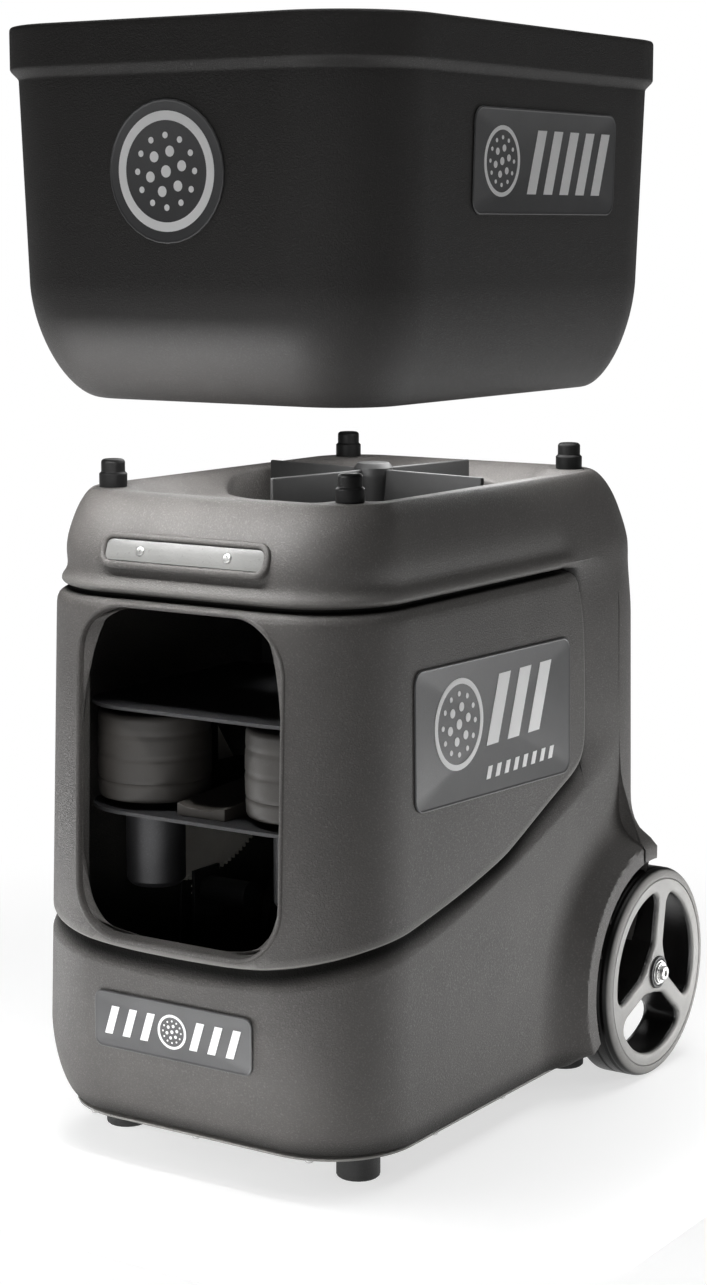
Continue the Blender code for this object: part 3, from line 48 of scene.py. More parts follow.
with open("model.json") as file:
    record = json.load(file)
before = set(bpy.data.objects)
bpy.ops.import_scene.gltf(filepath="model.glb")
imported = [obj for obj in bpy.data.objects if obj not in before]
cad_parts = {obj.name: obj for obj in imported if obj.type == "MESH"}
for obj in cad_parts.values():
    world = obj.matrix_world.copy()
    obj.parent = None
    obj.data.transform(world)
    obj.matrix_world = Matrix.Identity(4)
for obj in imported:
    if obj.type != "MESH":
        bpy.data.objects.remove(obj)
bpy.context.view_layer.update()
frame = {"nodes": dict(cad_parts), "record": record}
NODES = frame["nodes"]
RIDES_ON = {node: body for body, nodes in frame["record"]["behaviour"]["bodies"].items() for node in nodes}
SLOT_OF = {part["node"]: part["material_slot"] for part in frame["record"]["subparts"]}
HANDS = (("left", -1), ("right", 1))
BASE = "machine_base"


def middle(node):
    """Middle of a node's box."""
    return np.mean(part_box(node), axis=0)


POSTS = [f"locating_post_{end}_{hand}" for end in ("front", "rear") for hand in ("left", "right")]
MID_Y = float(np.mean([middle(post)[1] for post in POSTS]))
DECK_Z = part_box("top_tray")[1][2]
BASE_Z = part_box("base_plate")[1][2] + 0.0003
HOPPER_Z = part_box("hopper_shell")[0][2]


# Sizes and colours that a user would change
class BodyLook(bpy.types.PropertyGroup):
    """Sizes of the body's surface detail."""
    cove_depth: FloatProperty(name="Cove depth", default=0.0095, unit="LENGTH",
                              description="How deep the groove round the raised face is")
    face_edge: FloatProperty(name="Face edge", default=0.0024, unit="LENGTH",
                             description="Radius of the raised face's edge")
    window_bead: FloatProperty(name="Window bead", default=0.0016, unit="LENGTH",
                               description="How far the bead round the window stands out")
    lip_valley: FloatProperty(name="Arch valley", default=0.040, unit="LENGTH",
                              description="Width of the hollow behind the wheel arch's lip")
    dish_depth: FloatProperty(name="Dish depth", default=0.014, unit="LENGTH",
                              description="How far the deck sinks towards the rotor")


class Colours(bpy.types.PropertyGroup):
    """Colours of the finishes."""
    body: FloatVectorProperty(name="Body", subtype="COLOR", default=(0.060, 0.056, 0.053),
                              description="Moulded body")
    hopper: FloatVectorProperty(name="Hopper", subtype="COLOR", default=(0.011, 0.0100, 0.0094),
                                description="Moulded hopper")
    # The rims' pale colour is painted light, the sheen on the wheels' lit outer faces; the rest of each wheel
    # is darkened as painted shade
    rim: FloatVectorProperty(name="Rim", subtype="COLOR", default=(0.31, 0.305, 0.295),
                             description="Transport wheel rims")
    motif: FloatVectorProperty(name="Motif", subtype="COLOR", default=(0.88, 0.88, 0.88),
                               description="Printed motifs on the plates")


class Studio(bpy.types.PropertyGroup):
    """Backdrop and the strength of the light."""
    backdrop: FloatProperty(name="Backdrop", default=1.0, description="Strength of the backdrop, 1 for white")
    room: FloatProperty(name="Room", default=0.03, description="Strength of the even light from all round")
    behind: FloatProperty(name="Behind", default=0.05, description="Strength of the bright wall behind")
    lamps: FloatProperty(name="Lamps", default=1.0, description="Share of every lamp's own power")


# Meshes
def grid_quads(rows, cols, wrap=True):
    """Quads of a grid of rows by columns, the last column joined to the first where it wraps."""
    i, j = (a.ravel() for a in np.mgrid[:rows - 1, :cols if wrap else cols - 1])
    k = (j + 1) % cols
    return np.stack([i * cols + j, i * cols + k, (i + 1) * cols + k, (i + 1) * cols + j], axis=1)


def looks_at(points, target):
    """Whether a grid's faces look towards a point, summed over the grid."""
    across, up = points[:-1, 1:] - points[:-1, :-1], points[1:, :-1] - points[:-1, :-1]
    return float(np.sum(np.cross(across, up) * (np.asarray(target) - points[:-1, :-1]))) > 0


def cut(keep):
    """Faces of a wrapped grid whose four points are all kept, and a mask of the points on the cut's edge."""
    quads = grid_quads(*keep.shape)
    kept = keep.ravel()[quads].all(axis=1)
    edge = np.zeros(keep.size, bool)
    edge[np.intersect1d(quads[kept], quads[~kept])] = True
    return quads[kept], edge.reshape(keep.shape)


def in_order(points, mask, angle):
    """The masked points of a grid, sorted by an angle."""
    return points[mask][np.argsort(angle[mask])]


class Surface:
    """Points and faces gathered from several patches."""

    def __init__(self):
        self.points, self.quads, self.count = [], [], 0

    def patch(self, points, quads):
        """Take in points and the faces between them."""
        self.points.append(np.reshape(points, (-1, 3)))
        self.quads.append(quads + self.count)
        self.count += len(self.points[-1])

    def grid(self, points, wrap=True, flip=False):
        """Take in a (rows, columns, 3) grid of points."""
        quads = grid_quads(*points.shape[:2], wrap)
        self.patch(points, quads[:, ::-1] if flip else quads)

    def facing(self, points, target, wrap=True, away=False):
        """Take in a grid with its faces towards a point, or away from it."""
        self.grid(points, wrap, looks_at(points, target) == away)

    def mesh(self, name, shift=None):
        """The gathered mesh, its points shifted from machine Y to their place."""
        points = np.concatenate(self.points) + [0.0, MID_Y if shift is None else shift, 0.0]
        quads = np.concatenate(self.quads).astype(np.int32)
        mesh = bpy.data.meshes.new(name)
        mesh.vertices.add(len(points))
        mesh.vertices.foreach_set("co", points.astype(np.float32).ravel())
        mesh.loops.add(quads.size)
        mesh.loops.foreach_set("vertex_index", quads.ravel())
        mesh.polygons.add(len(quads))
        mesh.polygons.foreach_set("loop_start", np.arange(0, quads.size, 4, dtype=np.int32))
        mesh.update(calc_edges=True)
        mesh.validate()
        return mesh


def face_out(source, mesh, merge, flat=0.0):
    """Write a mesh from a source: shared points merged, flat faces joined, every face outwards."""
    bm = bmesh.new()
    bm.from_mesh(source)
    bmesh.ops.remove_doubles(bm, verts=bm.verts[:], dist=merge)
    if flat:
        bmesh.ops.dissolve_limit(bm, angle_limit=math.radians(flat), verts=bm.verts[:], edges=bm.edges[:])
    bmesh.ops.recalc_face_normals(bm, faces=bm.faces[:])
    bm.to_mesh(mesh)
    bm.free()


def piece(name, mesh, material, replaced=(), body=BASE, sharp=35.0, outward=True, bevel=0.0):
    """Object for a mesh, riding on a body, with its finish and the nodes that it stands for."""
    old = bpy.data.objects.get(name)
    if old:
        bpy.data.objects.remove(old, do_unlink=True)
    obj = bpy.data.objects.new(name, mesh)
    bpy.context.scene.collection.objects.link(obj)
    mesh.materials.clear()
    mesh.materials.append(material)
    if outward:
        face_out(mesh, mesh, 2e-6)
    mesh.shade_smooth()
    mesh.set_sharp_from_angle(angle=math.radians(sharp))
    if bevel:
        rounding = obj.modifiers.new("edge", "BEVEL")
        rounding.width, rounding.segments = bevel, 2
        rounding.limit_method, rounding.angle_limit = "ANGLE", math.radians(30)
    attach(obj, body)
    if replaced:
        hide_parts(*replaced)


# Curves and outlines
def turns(count):
    """Angles of a whole turn in equal steps."""
    return np.arange(count) * 2 * math.pi / count


def both_ways(half):
    """A walk along one side, from the front's middle to the rear's, and back along the other."""
    return np.concatenate([half, -half[-2:0:-1]])


def revolve(profile, steps, centre=(0, 0, 0), along_x=False):
    """Grid of a (radius, height) profile turned about Z, or X: centre + radius (cos a, sin a) + height."""
    radius, height = np.asarray(profile, float).T[..., None]
    angle = turns(steps)
    grid = np.stack([radius * np.cos(angle), radius * np.sin(angle), height + 0 * angle], axis=-1)
    return (np.roll(grid, 1, axis=-1) if along_x else grid) + centre


def rounded_profile(corners, radii, steps=5):
    """Polyline through (radius, height) corners, each one swapped for an arc where its radius is not 0."""
    corners = np.array(corners, float)
    out = [corners[0]]
    for before, here, after, radius in zip(corners, corners[1:], corners[2:], radii):
        if not radius:
            out.append(here)
            continue
        back = (before - here) / np.linalg.norm(before - here)
        ahead = (after - here) / np.linalg.norm(after - here)
        half = math.acos(np.clip(back @ ahead, -1, 1)) / 2
        start, end = here + back * radius / math.tan(half), here + ahead * radius / math.tan(half)
        centre = here + (back + ahead) / np.linalg.norm(back + ahead) * radius / math.sin(half)
        share = np.arange(steps + 1)[:, None] / steps * (math.pi / 2 - half)
        spokes = (start - centre) * np.sin(share[::-1]) + (end - centre) * np.sin(share)
        out += list(centre + spokes * radius / np.linalg.norm(spokes, axis=1, keepdims=True))
    return np.array(out + [corners[-1]])


def smoothstep(x):
    """0 below 0, 1 above 1, and a smooth rise between."""
    x = np.clip(x, 0.0, 1.0)
    return x * x * (3 - 2 * x)


def rounded_box_distance(x, y, half_x, half_y, radius):
    """Signed distance to a rounded rectangle about the origin, negative inside."""
    dx, dy = np.abs(x) - half_x + radius, np.abs(y) - half_y + radius
    return np.hypot(np.maximum(dx, 0), np.maximum(dy, 0)) + np.minimum(np.maximum(dx, dy), 0) - radius


def softened(line):
    """A polyline with its corners cut twice, a quarter from each end of each stretch."""
    line = np.asarray(line, float)
    for _ in range(2):
        near, far = line[:-1] * 0.75 + line[1:] * 0.25, line[:-1] * 0.25 + line[1:] * 0.75
        line = np.concatenate([line[:1], np.stack([near, far], 1).reshape(-1, 2), line[-1:]])
    return line


def line_distance(x, y, line):
    """Distance from points to a polyline."""
    best = np.full(np.shape(x), 1e9)
    for (ax, ay), (bx, by) in zip(line[:-1], line[1:]):
        dx, dy = bx - ax, by - ay
        share = np.clip(((x - ax) * dx + (y - ay) * dy) / max(dx * dx + dy * dy, 1e-12), 0, 1)
        best = np.minimum(best, np.hypot(x - ax - share * dx, y - ay - share * dy))
    return best


def snap(x, y, distance, level=0.0, rounds=6, step=1e-4, least=0.05):
    """Move (x, y) along a distance's own slope until the distance is the level."""
    for _ in range(rounds):
        here = distance(x, y) - level
        slope_x = (distance(x + step, y) - distance(x - step, y)) / (2 * step)
        slope_y = (distance(x, y + step) - distance(x, y - step)) / (2 * step)
        size = np.maximum(slope_x ** 2 + slope_y ** 2, least)
        x, y = x - here * slope_x / size, y - here * slope_y / size
    return x, y


def box_outline(half_x, half_y, radius, steps=6, x=0.0):
    """Counter-clockwise rounded rectangle about (x, 0) as an outline."""
    angle = np.linspace(0, math.pi / 2, steps + 1)
    corners = [(x + half_x - radius, half_y - radius), (x - half_x + radius, half_y - radius),
               (x - half_x + radius, radius - half_y), (x + half_x - radius, radius - half_y)]
    return np.concatenate([np.stack([cx + radius * np.cos(angle + k * math.pi / 2),
                                     cy + radius * np.sin(angle + k * math.pi / 2)], 1)
                           for k, (cx, cy) in enumerate(corners)])


def inset_rings(outline, offsets):
    """Rings of an outline drawn in along its normals by d and put at z, closed at both ends."""
    outline = np.asarray(outline, float)
    tangent = np.roll(outline, -1, 0) - np.roll(outline, 1, 0)
    normal = np.stack([tangent[:, 1], -tangent[:, 0]], 1)
    normal = normal / np.maximum(np.linalg.norm(normal, axis=1, keepdims=True), 1e-12)
    rings = np.stack([np.column_stack([outline - normal * d, np.full(len(outline), z)]) for d, z in offsets])
    ends = rings[[0, -1]].mean(1, keepdims=True) + 0 * rings[[0, -1]]
    return np.concatenate([ends[:1], rings, ends[1:]])


def prism_rounded(outline, low, high, edge, steps=3):
    """An outline carried up from low to high, drawn in by quarter circles round both edges."""
    turn = np.linspace(0, math.pi / 2, steps + 1)
    offsets = [(edge * (1 - math.sin(a)), low + edge * (1 - math.cos(a))) for a in turn]
    offsets += [(edge * (1 - math.cos(a)), high - edge * (1 - math.sin(a))) for a in turn]
    return inset_rings(outline, offsets)


def pierced(floor, centres, radius):
    """Cut round holes out of a floor, the cut's points moved onto the circles: faces left, edge, distance."""
    off = floor[..., None, :2] - np.array(centres)
    far = np.linalg.norm(off, axis=-1) - radius
    which = far.argmin(-1)[..., None]
    near = np.take_along_axis(far, which, -1)[..., 0]
    aim = np.take_along_axis(off, which[..., None], -2)[..., 0, :]
    faces, edge = cut(near > 0)
    floor[edge, :2] -= aim[edge] * (near[edge] / (near[edge] + radius))[:, None]
    return faces, edge, near


# Body: the walk round a section, and the section at each height
HALF_W, FRONT, REAR, CORNER = 0.180, -0.270, 0.286, 0.090
QUARTER = CORNER * math.pi / 2
WALK = np.cumsum([HALF_W - CORNER, QUARTER, REAR - FRONT - 2 * CORNER, QUARTER, HALF_W - CORNER])
ROUND_H = 0.078
ROUND_TOP = BASE_Z + ROUND_H
FACE_TOP, CAP_LIP, SPLIT, CAP_STEP = 0.493, 0.507, 0.4955, 0.0055
CREST = (0.149, -0.212, 0.216, 0.050)       # half width, front, rear, corner radius
WINDOW = (0.104, 0.141, 0.344, 0.045)       # half width, half height, middle height, corner radius
WHEEL_Y, WHEEL_Z = float(middle("wheel_tyre_right")[1]) - MID_Y, float(middle("wheel_tyre_right")[2])
WELL_R, WELL_X, LIP_R, LIP_X = 0.109, 0.166, 0.126, 0.205
LIP_FROM, LIP_TO = 85.0, 206.0
CREST_FROM = 0.490                          # walk at which the groove under the cap starts to fade


def walk_to_ring(t, half, front, rear, corner, walk=WALK):
    """Place and outward normal on a rounded rectangle, at a signed walk t from the middle of its front.

    The walk is measured on the reference section, so that a column of the grid keeps its side, its
    corner angle or its share of a straight at every height: straight, quarter turn, straight, quarter
    turn, straight, and mirrored for a negative t.
    """
    side = np.where(t < 0, -1.0, 1.0)
    t = np.abs(t)
    a, b, c, d, e = walk
    turn_front = np.clip((t - a) / (b - a), 0, 1) * math.pi / 2
    turn_rear = np.clip((t - c) / (d - c), 0, 1) * math.pi / 2
    along = np.clip((t - b) / (c - b), 0, 1)
    x = (half - corner) * np.clip(t / a, 0, 1) + corner * np.sin(turn_front)
    x = np.where(t > c, half - corner + corner * np.cos(turn_rear), x)
    x = np.where(t > d, (half - corner) * (1 - np.clip((t - d) / (e - d), 0, 1)), x)
    y = front + corner * (1 - np.cos(turn_front)) + (rear - front - 2 * corner) * along
    y = y + corner * np.sin(turn_rear)
    angle = turn_front + turn_rear
    return x * side, y, np.sin(angle) * side, -np.cos(angle)


def turn_over(share, power):
    """Draw-in of a rounded edge at a share of its height: 1 - (1 - share^p)^(1/p)."""
    return 1 - (1 - np.clip(share, 0, 1) ** power) ** (1 / power)


def body_section(z):
    """Half width, front, rear and corner radius at heights z; the cap steps in and crowns over."""
    low = turn_over((ROUND_TOP - z) / ROUND_H, 1.7) * (z < ROUND_TOP)
    draft = np.clip((z - ROUND_TOP) / (FACE_TOP - ROUND_TOP), 0, 1)
    cap = z >= SPLIT
    crown = turn_over((z - CAP_LIP) / (DECK_Z - CAP_LIP), 1.6) * cap
    step = CAP_STEP * cap
    section = (HALF_W - 0.0105 * low - 0.005 * draft - step, FRONT + 0.034 * low + 0.011 * draft + step,
               REAR - 0.033 * low - 0.004 * draft - step, CORNER - 0.0105 * low - step)
    return [here + crown * (crest - here) for here, crest in zip(section, CREST)]


# In hundredths of a mm the groove's depth under the cap by height, and in tenths the heights of the raised
# face's edge and of the channel's edge by walk
SHELF = np.array([
    (47000, 0), (48000, 10), (48450, 60), (48800, 220), (49000, 420), (49150, 680), (49220, 950),
    (49300, 1250), (49549, 1300), (49551, 750), (49620, 450), (49720, 180), (49850, 0), (50050, -120),
    (50300, -100), (50550, 40), (50800, 220), (51100, 340), (51450, 360), (51900, 280), (52400, 160),
    (53000, 60), (53800, 0)]).T / 1e5
FACE_LINE = softened(np.array([
    (-100, 1925), (0, 1925), (500, 1930), (850, 1955), (1150, 2005), (1500, 2072), (1900, 2155),
    (2460, 2238), (3180, 2370), (3850, 2530), (4124, 2640), (4514, 2810), (4844, 2950), (5184, 3085),
    (5345, 3220), (5390, 3450), (5385, 4000), (5355, 4500), (5300, 4820), (5180, 4935), (5000, 4955),
    (4500, 4960)]) / 1e4)
BAND_LINE = softened(np.array([
    (-100, 1730), (0, 1730), (500, 1750), (850, 1775), (1150, 1810), (1500, 1862), (1900, 1940),
    (2460, 2028), (3180, 2172), (4127, 2455), (4704, 2640), (5454, 2920), (5854, 3085), (6044, 3250),
    (6050, 3600), (6040, 4300), (6024, 4620), (5970, 4830), (5850, 4960), (5680, 5025), (5450, 5040),
    (5000, 5030), (4400, 5010)]) / 1e4)


def height_on(line, walk):
    """Height of a line at a walk, up to where it turns back."""
    last = int(np.argmax(line[:, 0])) + 1
    return np.interp(walk, line[:last, 0], line[:last, 1])


def beyond(line, t, z, closed):
    """Signed distance to a line, positive below and behind it, and above it too where it's closed."""
    walk, turn = np.abs(t), int(np.argmax(line[:, 0]))
    low, back = line[:turn + (not closed)], line[turn:]
    past_edge = walk > np.interp(z, back[:, 1], back[:, 0])
    outside = z < np.interp(walk, low[:, 0], low[:, 1])
    if closed:
        outside = outside | past_edge | (z > np.interp(walk, back[::-1, 0], back[::-1, 1]))
    else:
        outside = outside | (walk > back[0, 0]) | (past_edge & (z > back[0, 1]))
    return np.where(outside, 1, -1) * line_distance(walk, z, line)


def ahead(t, fade):
    """1 ahead of the crest's start, fading to 0 over a walk behind it."""
    return 1 - smoothstep((np.abs(t) - CREST_FROM) / fade)


def body_relief(t, z):
    """How far the surface lies behind the plain section: groove under the cap, cove round the face.

    The face's edge is a quarter circle of radius r; the cove is its depth times a ramp, (1 - s) / 2 plus
    (1 - smoothstep(s)) / 2, where s is the share of the way from the face's edge to the channel's edge.
    """
    look = bpy.context.scene.body_look
    join = 0.5 * CAP_STEP * (smoothstep((z - 0.44) / (SPLIT - 0.44)) * (z < SPLIT)
                             - (1 - smoothstep((z - SPLIT) / 0.045)) * (z >= SPLIT))
    front = ahead(t, 0.046)
    groove = front * np.interp(z, *SHELF) + (1 - front) * join
    out_of_face, in_channel = beyond(FACE_LINE, t, z, False), -beyond(BAND_LINE, t, z, True)
    r = look.face_edge
    edge = np.clip(out_of_face + r, 0, r)
    rounding = r - np.sqrt(np.maximum(r * r - edge * edge, 0))
    past = np.clip(out_of_face, 0, None)
    share = past / np.maximum(past + np.clip(in_channel, 0, None), 1e-6)
    ramp = 0.5 * (1 - share) + 0.5 * (1 - smoothstep(share))
    wall = r + (look.cove_depth - r) * smoothstep(out_of_face / 0.0022)
    depth = np.where(out_of_face > 0, np.minimum(look.cove_depth * ramp, wall), rounding)
    depth = np.where((out_of_face > 0) & (in_channel <= 0), 0, depth)
    return groove + depth * np.where(z < SPLIT, 1, 1 - front)


def body_recess(t, z):
    """Share of painted shade at a point: in the cove, in the groove under the cap and at the foot, where shade
    falls.
    """
    out_of_face, in_channel = beyond(FACE_LINE, t, z, False), -beyond(BAND_LINE, t, z, True)
    # Painted shade in the cove under the raised face's edge
    cove = smoothstep((out_of_face + 0.0004) / 0.0012) * (1 - smoothstep((out_of_face - 0.006) / 0.011))
    cove = cove * smoothstep(in_channel / 0.004) * (z < SPLIT)
    # Painted shade in the groove under the cap
    groove = ahead(t, 0.046) * smoothstep((np.interp(z, *SHELF) - 0.004) / 0.006)
    # Painted shade, darker towards the foot
    foot = 0.75 * (1 - smoothstep((z - BASE_Z - 0.002) / 0.022))
    return np.maximum(np.maximum(0.95 * cove, groove), foot)


def body_edge(t, z):
    """Share of a painted highlight at a point: along the raised face's edge and the cap's lip."""
    # Painted highlight along the face's edge and, fainter, along the cap's lip
    face = np.exp(-((beyond(FACE_LINE, t, z, False) + 0.0014) / 0.0013) ** 2) * (z < 0.488)
    return np.maximum(face, 0.45 * ahead(t, 0.060) * np.exp(-((z - 0.5015) / 0.0045) ** 2))


def arch_flare(x, y, z):
    """Share, 0 to 1, by which the skin is pulled out to the wheel arch's lip.

    It is 1 on the lip, a band round the well with square rounded ends, and falls off with the distance
    from the band: quickly at first, then slowly, so that a valley runs round the lip.
    """
    angle = np.degrees(np.arctan2(z - WHEEL_Z, y - WHEEL_Y))
    angle = np.where(angle < -90, angle + 360, angle)
    mid_r = (LIP_R + WELL_R - 0.004) / 2
    along = np.radians(angle - (LIP_FROM + LIP_TO) / 2) * mid_r
    long, wide = np.radians(LIP_TO - LIP_FROM) / 2 * mid_r, (LIP_R - WELL_R + 0.004) / 2
    away = rounded_box_distance(along, np.hypot(y - WHEEL_Y, z - WHEEL_Z) - mid_r, long, wide, 0.005)
    fall = np.clip(away / bpy.context.scene.body_look.lip_valley, 0, 1)
    pull = np.where(away <= 0, 1.0, 0.62 * (1 - fall) ** 5 + 0.38 * (1 - fall) ** 1.8)
    return pull * (1 - smoothstep((y - WHEEL_Y - 0.014) / 0.060)) * (np.abs(x) > 0.10)


def body_point(t, z, inset=0.0, relief=True):
    """Point of the body's skin: place on the section, less the relief, plus the arch's flare."""
    x, y, nx, ny = walk_to_ring(t, *body_section(z))
    depth = inset + (body_relief(t, z) if relief else 0.0)
    x, y = x - nx * depth, y - ny * depth
    if relief:
        x = x + np.sign(x) * np.maximum(LIP_X - inset - np.abs(x), 0) * arch_flare(x, y, z)
    return np.stack([x, y, z + 0 * x], axis=-1)


def opening_distance(t, z):
    """Signed distance to the window and the wheel wells, negative inside them."""
    point = body_point(t, z, relief=False)
    window = rounded_box_distance(point[..., 0], z - WINDOW[2], WINDOW[0], WINDOW[1], WINDOW[3])
    wheel = np.hypot(point[..., 1] - WHEEL_Y, z - WHEEL_Z) - WELL_R
    return np.where(np.abs(t) < 0.25, window, 1.0), np.maximum(wheel, WELL_X - np.abs(point[..., 0]))


def body_columns(fine):
    """Walks of the grid's columns, close together over the front and the raised face's edges."""
    half = []
    stops = [(0.0, 0.13, 0.0034), (0.13, 0.46, 0.0050), (0.46, 0.526, 0.0022), (0.526, 0.543, 0.0009),
             (0.543, 0.62, 0.0022), (0.62, 0.72, 0.0022), (0.72, float(WALK[-1]), 0.0055)]
    for a, b, step in stops:
        count = int(round((b - a) / (step * fine)))
        half.append(np.arange(count) * (b - a) / count + a)
    return both_ways(np.concatenate(half + [WALK[-1:]]))


def body_rows(t):
    """Heights of the grid's rows at each column: they follow the two edges of the cove."""
    walk = np.abs(t)
    face = np.minimum(np.where(walk > 0.539, 0.4760, height_on(FACE_LINE, walk)), 0.4760)
    band = np.minimum(np.where(walk > 0.6050, 0.4700, height_on(BAND_LINE, walk)), 0.4700)
    band = np.minimum(band, face - 0.0050)

    def between(low, high, count, power=1.0):
        return low + (high - low) * np.linspace(0, 1, count)[1:, None] ** power
    low = BASE_Z + ROUND_H * (1 - np.cos(np.linspace(0, math.pi / 2, 24)))[:, None] + 0 * t
    edge = face + np.array([-24, -18, -12, -6, 0, 6, 12, 19, 27])[:, None] / 1e4
    fixed = np.concatenate([np.linspace(0.4805, 0.4905, 9), np.linspace(0.4912, 0.5015, 20),
                            np.linspace(0.5025, 0.5150, 11), np.linspace(0.5170, 0.5380, 8),
                            0.538 + (DECK_Z - 0.538) * np.sin(np.linspace(0, math.pi / 2, 18)[1:])])
    return np.concatenate([low, between(low[-1], band, 50), between(band, face - 0.0030, 16), edge,
                           between(edge[-1], 0.4795, 28, 1.15), fixed[:, None] + 0 * t])


def body_arrays(fine, inset=0.0):
    """Grid of the body's skin: walks, points, faces, the edges of the window and the two wells, and shares.

    The inner skin lies behind the deepest relief near each of its points.
    """
    t = body_columns(fine)
    z = np.linspace(BASE_Z, DECK_Z - inset, 46)[:, None] + 0 * t if inset else body_rows(t)
    t = np.broadcast_to(t, z.shape).copy()
    level = (0.0 if inset else 0.0045, 0.0)
    window, well = opening_distance(t, z)
    faces, edge = cut((window > level[0]) & (well > level[1]))
    by_window = edge & (window - level[0] < well - level[1])
    by_well = edge & ~by_window
    for which, mask in enumerate((by_window, by_well)):
        t[mask], z[mask] = snap(t[mask], z[mask], lambda a, b: opening_distance(a, b)[which], level[which])
    z = np.clip(z, BASE_Z, DECK_Z)
    hollow = 0 * z
    if inset:
        for along in np.linspace(-0.020, 0.020, 9):
            for up in np.linspace(-0.013, 0.013, 13):
                hollow = np.maximum(hollow, body_relief(t + along, np.clip(z + up, BASE_Z, DECK_Z)))
    points = body_point(t, z, inset + hollow, relief=not inset)
    around = np.arctan2(points[..., 2] - WINDOW[2], points[..., 0])
    hub = np.arctan2(points[..., 2] - BASE_Z, points[..., 1] - WHEEL_Y)
    wells = [in_order(points, by_well & (points[..., 0] * side > 0), hub) for side in (1, -1)]
    # The last two are the shares of painted shade and of painted highlight
    return points, faces, in_order(points, by_window, around), wells, (body_recess(t, z), body_edge(t, z))


def body_mesh():
    """Moulded body: outer skin, bead and reveal round the window, wheel wells, inner skin and both rims."""
    body = Surface()
    points, faces, window, wells, shares = body_arrays(1.0)
    body.patch(points, faces)
    middle_of_window = (0.0, 0.0, WINDOW[2])
    bead = [(0, 0), (0.0003, 0.5), (0.0009, 0.85), (0.0018, 1.0), (0.0030, 0.85), (0.0038, 0.35),
            (0.0042, -0.6), (0.0044, -2.0), (0.0046, -4.0), (0.0048, -8.0)]
    flat = window[:, [0, 2]]
    reach = np.array([WINDOW[0] - WINDOW[3], WINDOW[1] - WINDOW[3]])
    corner = flat - np.clip(flat, [0, WINDOW[2]] - reach, [0, WINDOW[2]] + reach)
    size = np.where(np.abs(corner).max(1) > 1e-6, np.maximum(np.linalg.norm(corner, axis=1), 1e-9), 1.0)
    inward = -np.insert(corner / size[:, None], 1, 0.0, axis=1)
    height = bpy.context.scene.body_look.window_bead
    rings = [window + inward * m - np.array([0, height * n, 0]) for m, n in bead]
    body.facing(np.stack(rings), middle_of_window)
    inner, inner_faces, inner_window, _, _ = body_arrays(5.0, 0.005)
    body.patch(inner, inner_faces[:, ::-1])
    count = len(inner_window)
    nearest = np.searchsorted(np.linspace(0, 1, count), np.linspace(0, 1, len(window)))
    rim = inner_window[nearest.clip(0, count - 1)]
    body.facing(np.stack([rings[-1], rim]), middle_of_window)
    for side, loop in zip((1, -1), wells):
        flat_loop = loop * [0, 1, 1] + [side * WELL_X, 0, 0]
        hub = np.array([side * WELL_X, WHEEL_Y, BASE_Z])
        disc = [hub + (flat_loop - hub) * share for share in (1.0, 0.8, 0.5, 0.2, 0.0)]
        lining = np.stack([loop, loop * 0.5 + flat_loop * 0.5] + disc)
        body.facing(lining, hub + [side * 0.05, 0, 0.03], wrap=False)
    t = body_columns(1.0)
    ledge = [points[-1]]
    for inset, drop in ((0.0006, 0), (0.0050, 0), (0.0055, 0.0006), (0.0055, 0.009)):
        x, y, nx, ny = walk_to_ring(t, *CREST)
        ledge.append(np.stack([x - nx * inset, y - ny * inset, DECK_Z - drop + 0 * x], axis=-1))
    body.facing(np.stack(ledge), (0, 0, DECK_Z + 1.0))
    body.facing(np.stack([points[0], body_point(t, BASE_Z + 0 * t, 0.006, relief=False)]), (0, 0, -1.0))
    mesh = body.mesh("body_skin")
    # Point attributes for the finish: painted shade and painted highlight
    for name, share in zip(("Recess", "Edge"), shares):
        level = np.zeros(len(mesh.vertices), np.float32)
        level[:share.size] = share.ravel()
        mesh.attributes.new(name, "FLOAT", "POINT").data.foreach_set("value", level)
    return mesh


# Deck
ROTOR_Y, BOWL_R, BOWL_FLOOR_Z = 0.040, 0.1345, DECK_Z - 0.059
DROP_R, DROP_Y = 0.041, -0.043
POST_X, POST_Y = 0.1235, 0.185
POST_PLACES = [(x, y) for x in (-POST_X, POST_X) for y in (-POST_Y, POST_Y)]


def tray_distance(x, y):
    """Signed distance to the tray's outline, negative inside."""
    return rounded_box_distance(x, y - 0.002, 0.1435, 0.2085, 0.045)


def deck_height(x, y):
    """Height of the deck: a dish from the crest down to the bowl, with a flat pad under each post."""
    sink = bpy.context.scene.body_look.dish_depth * smoothstep(-tray_distance(x, y) / 0.055)
    sink = sink * smoothstep((np.hypot(np.abs(x) - POST_X, np.abs(y) - POST_Y) - 0.017) / 0.022)
    rim = np.clip((np.hypot(x, y - ROTOR_Y) - BOWL_R) / 0.004, 0, 1)
    return DECK_Z - sink - 0.0015 * (1 - rim) ** 2


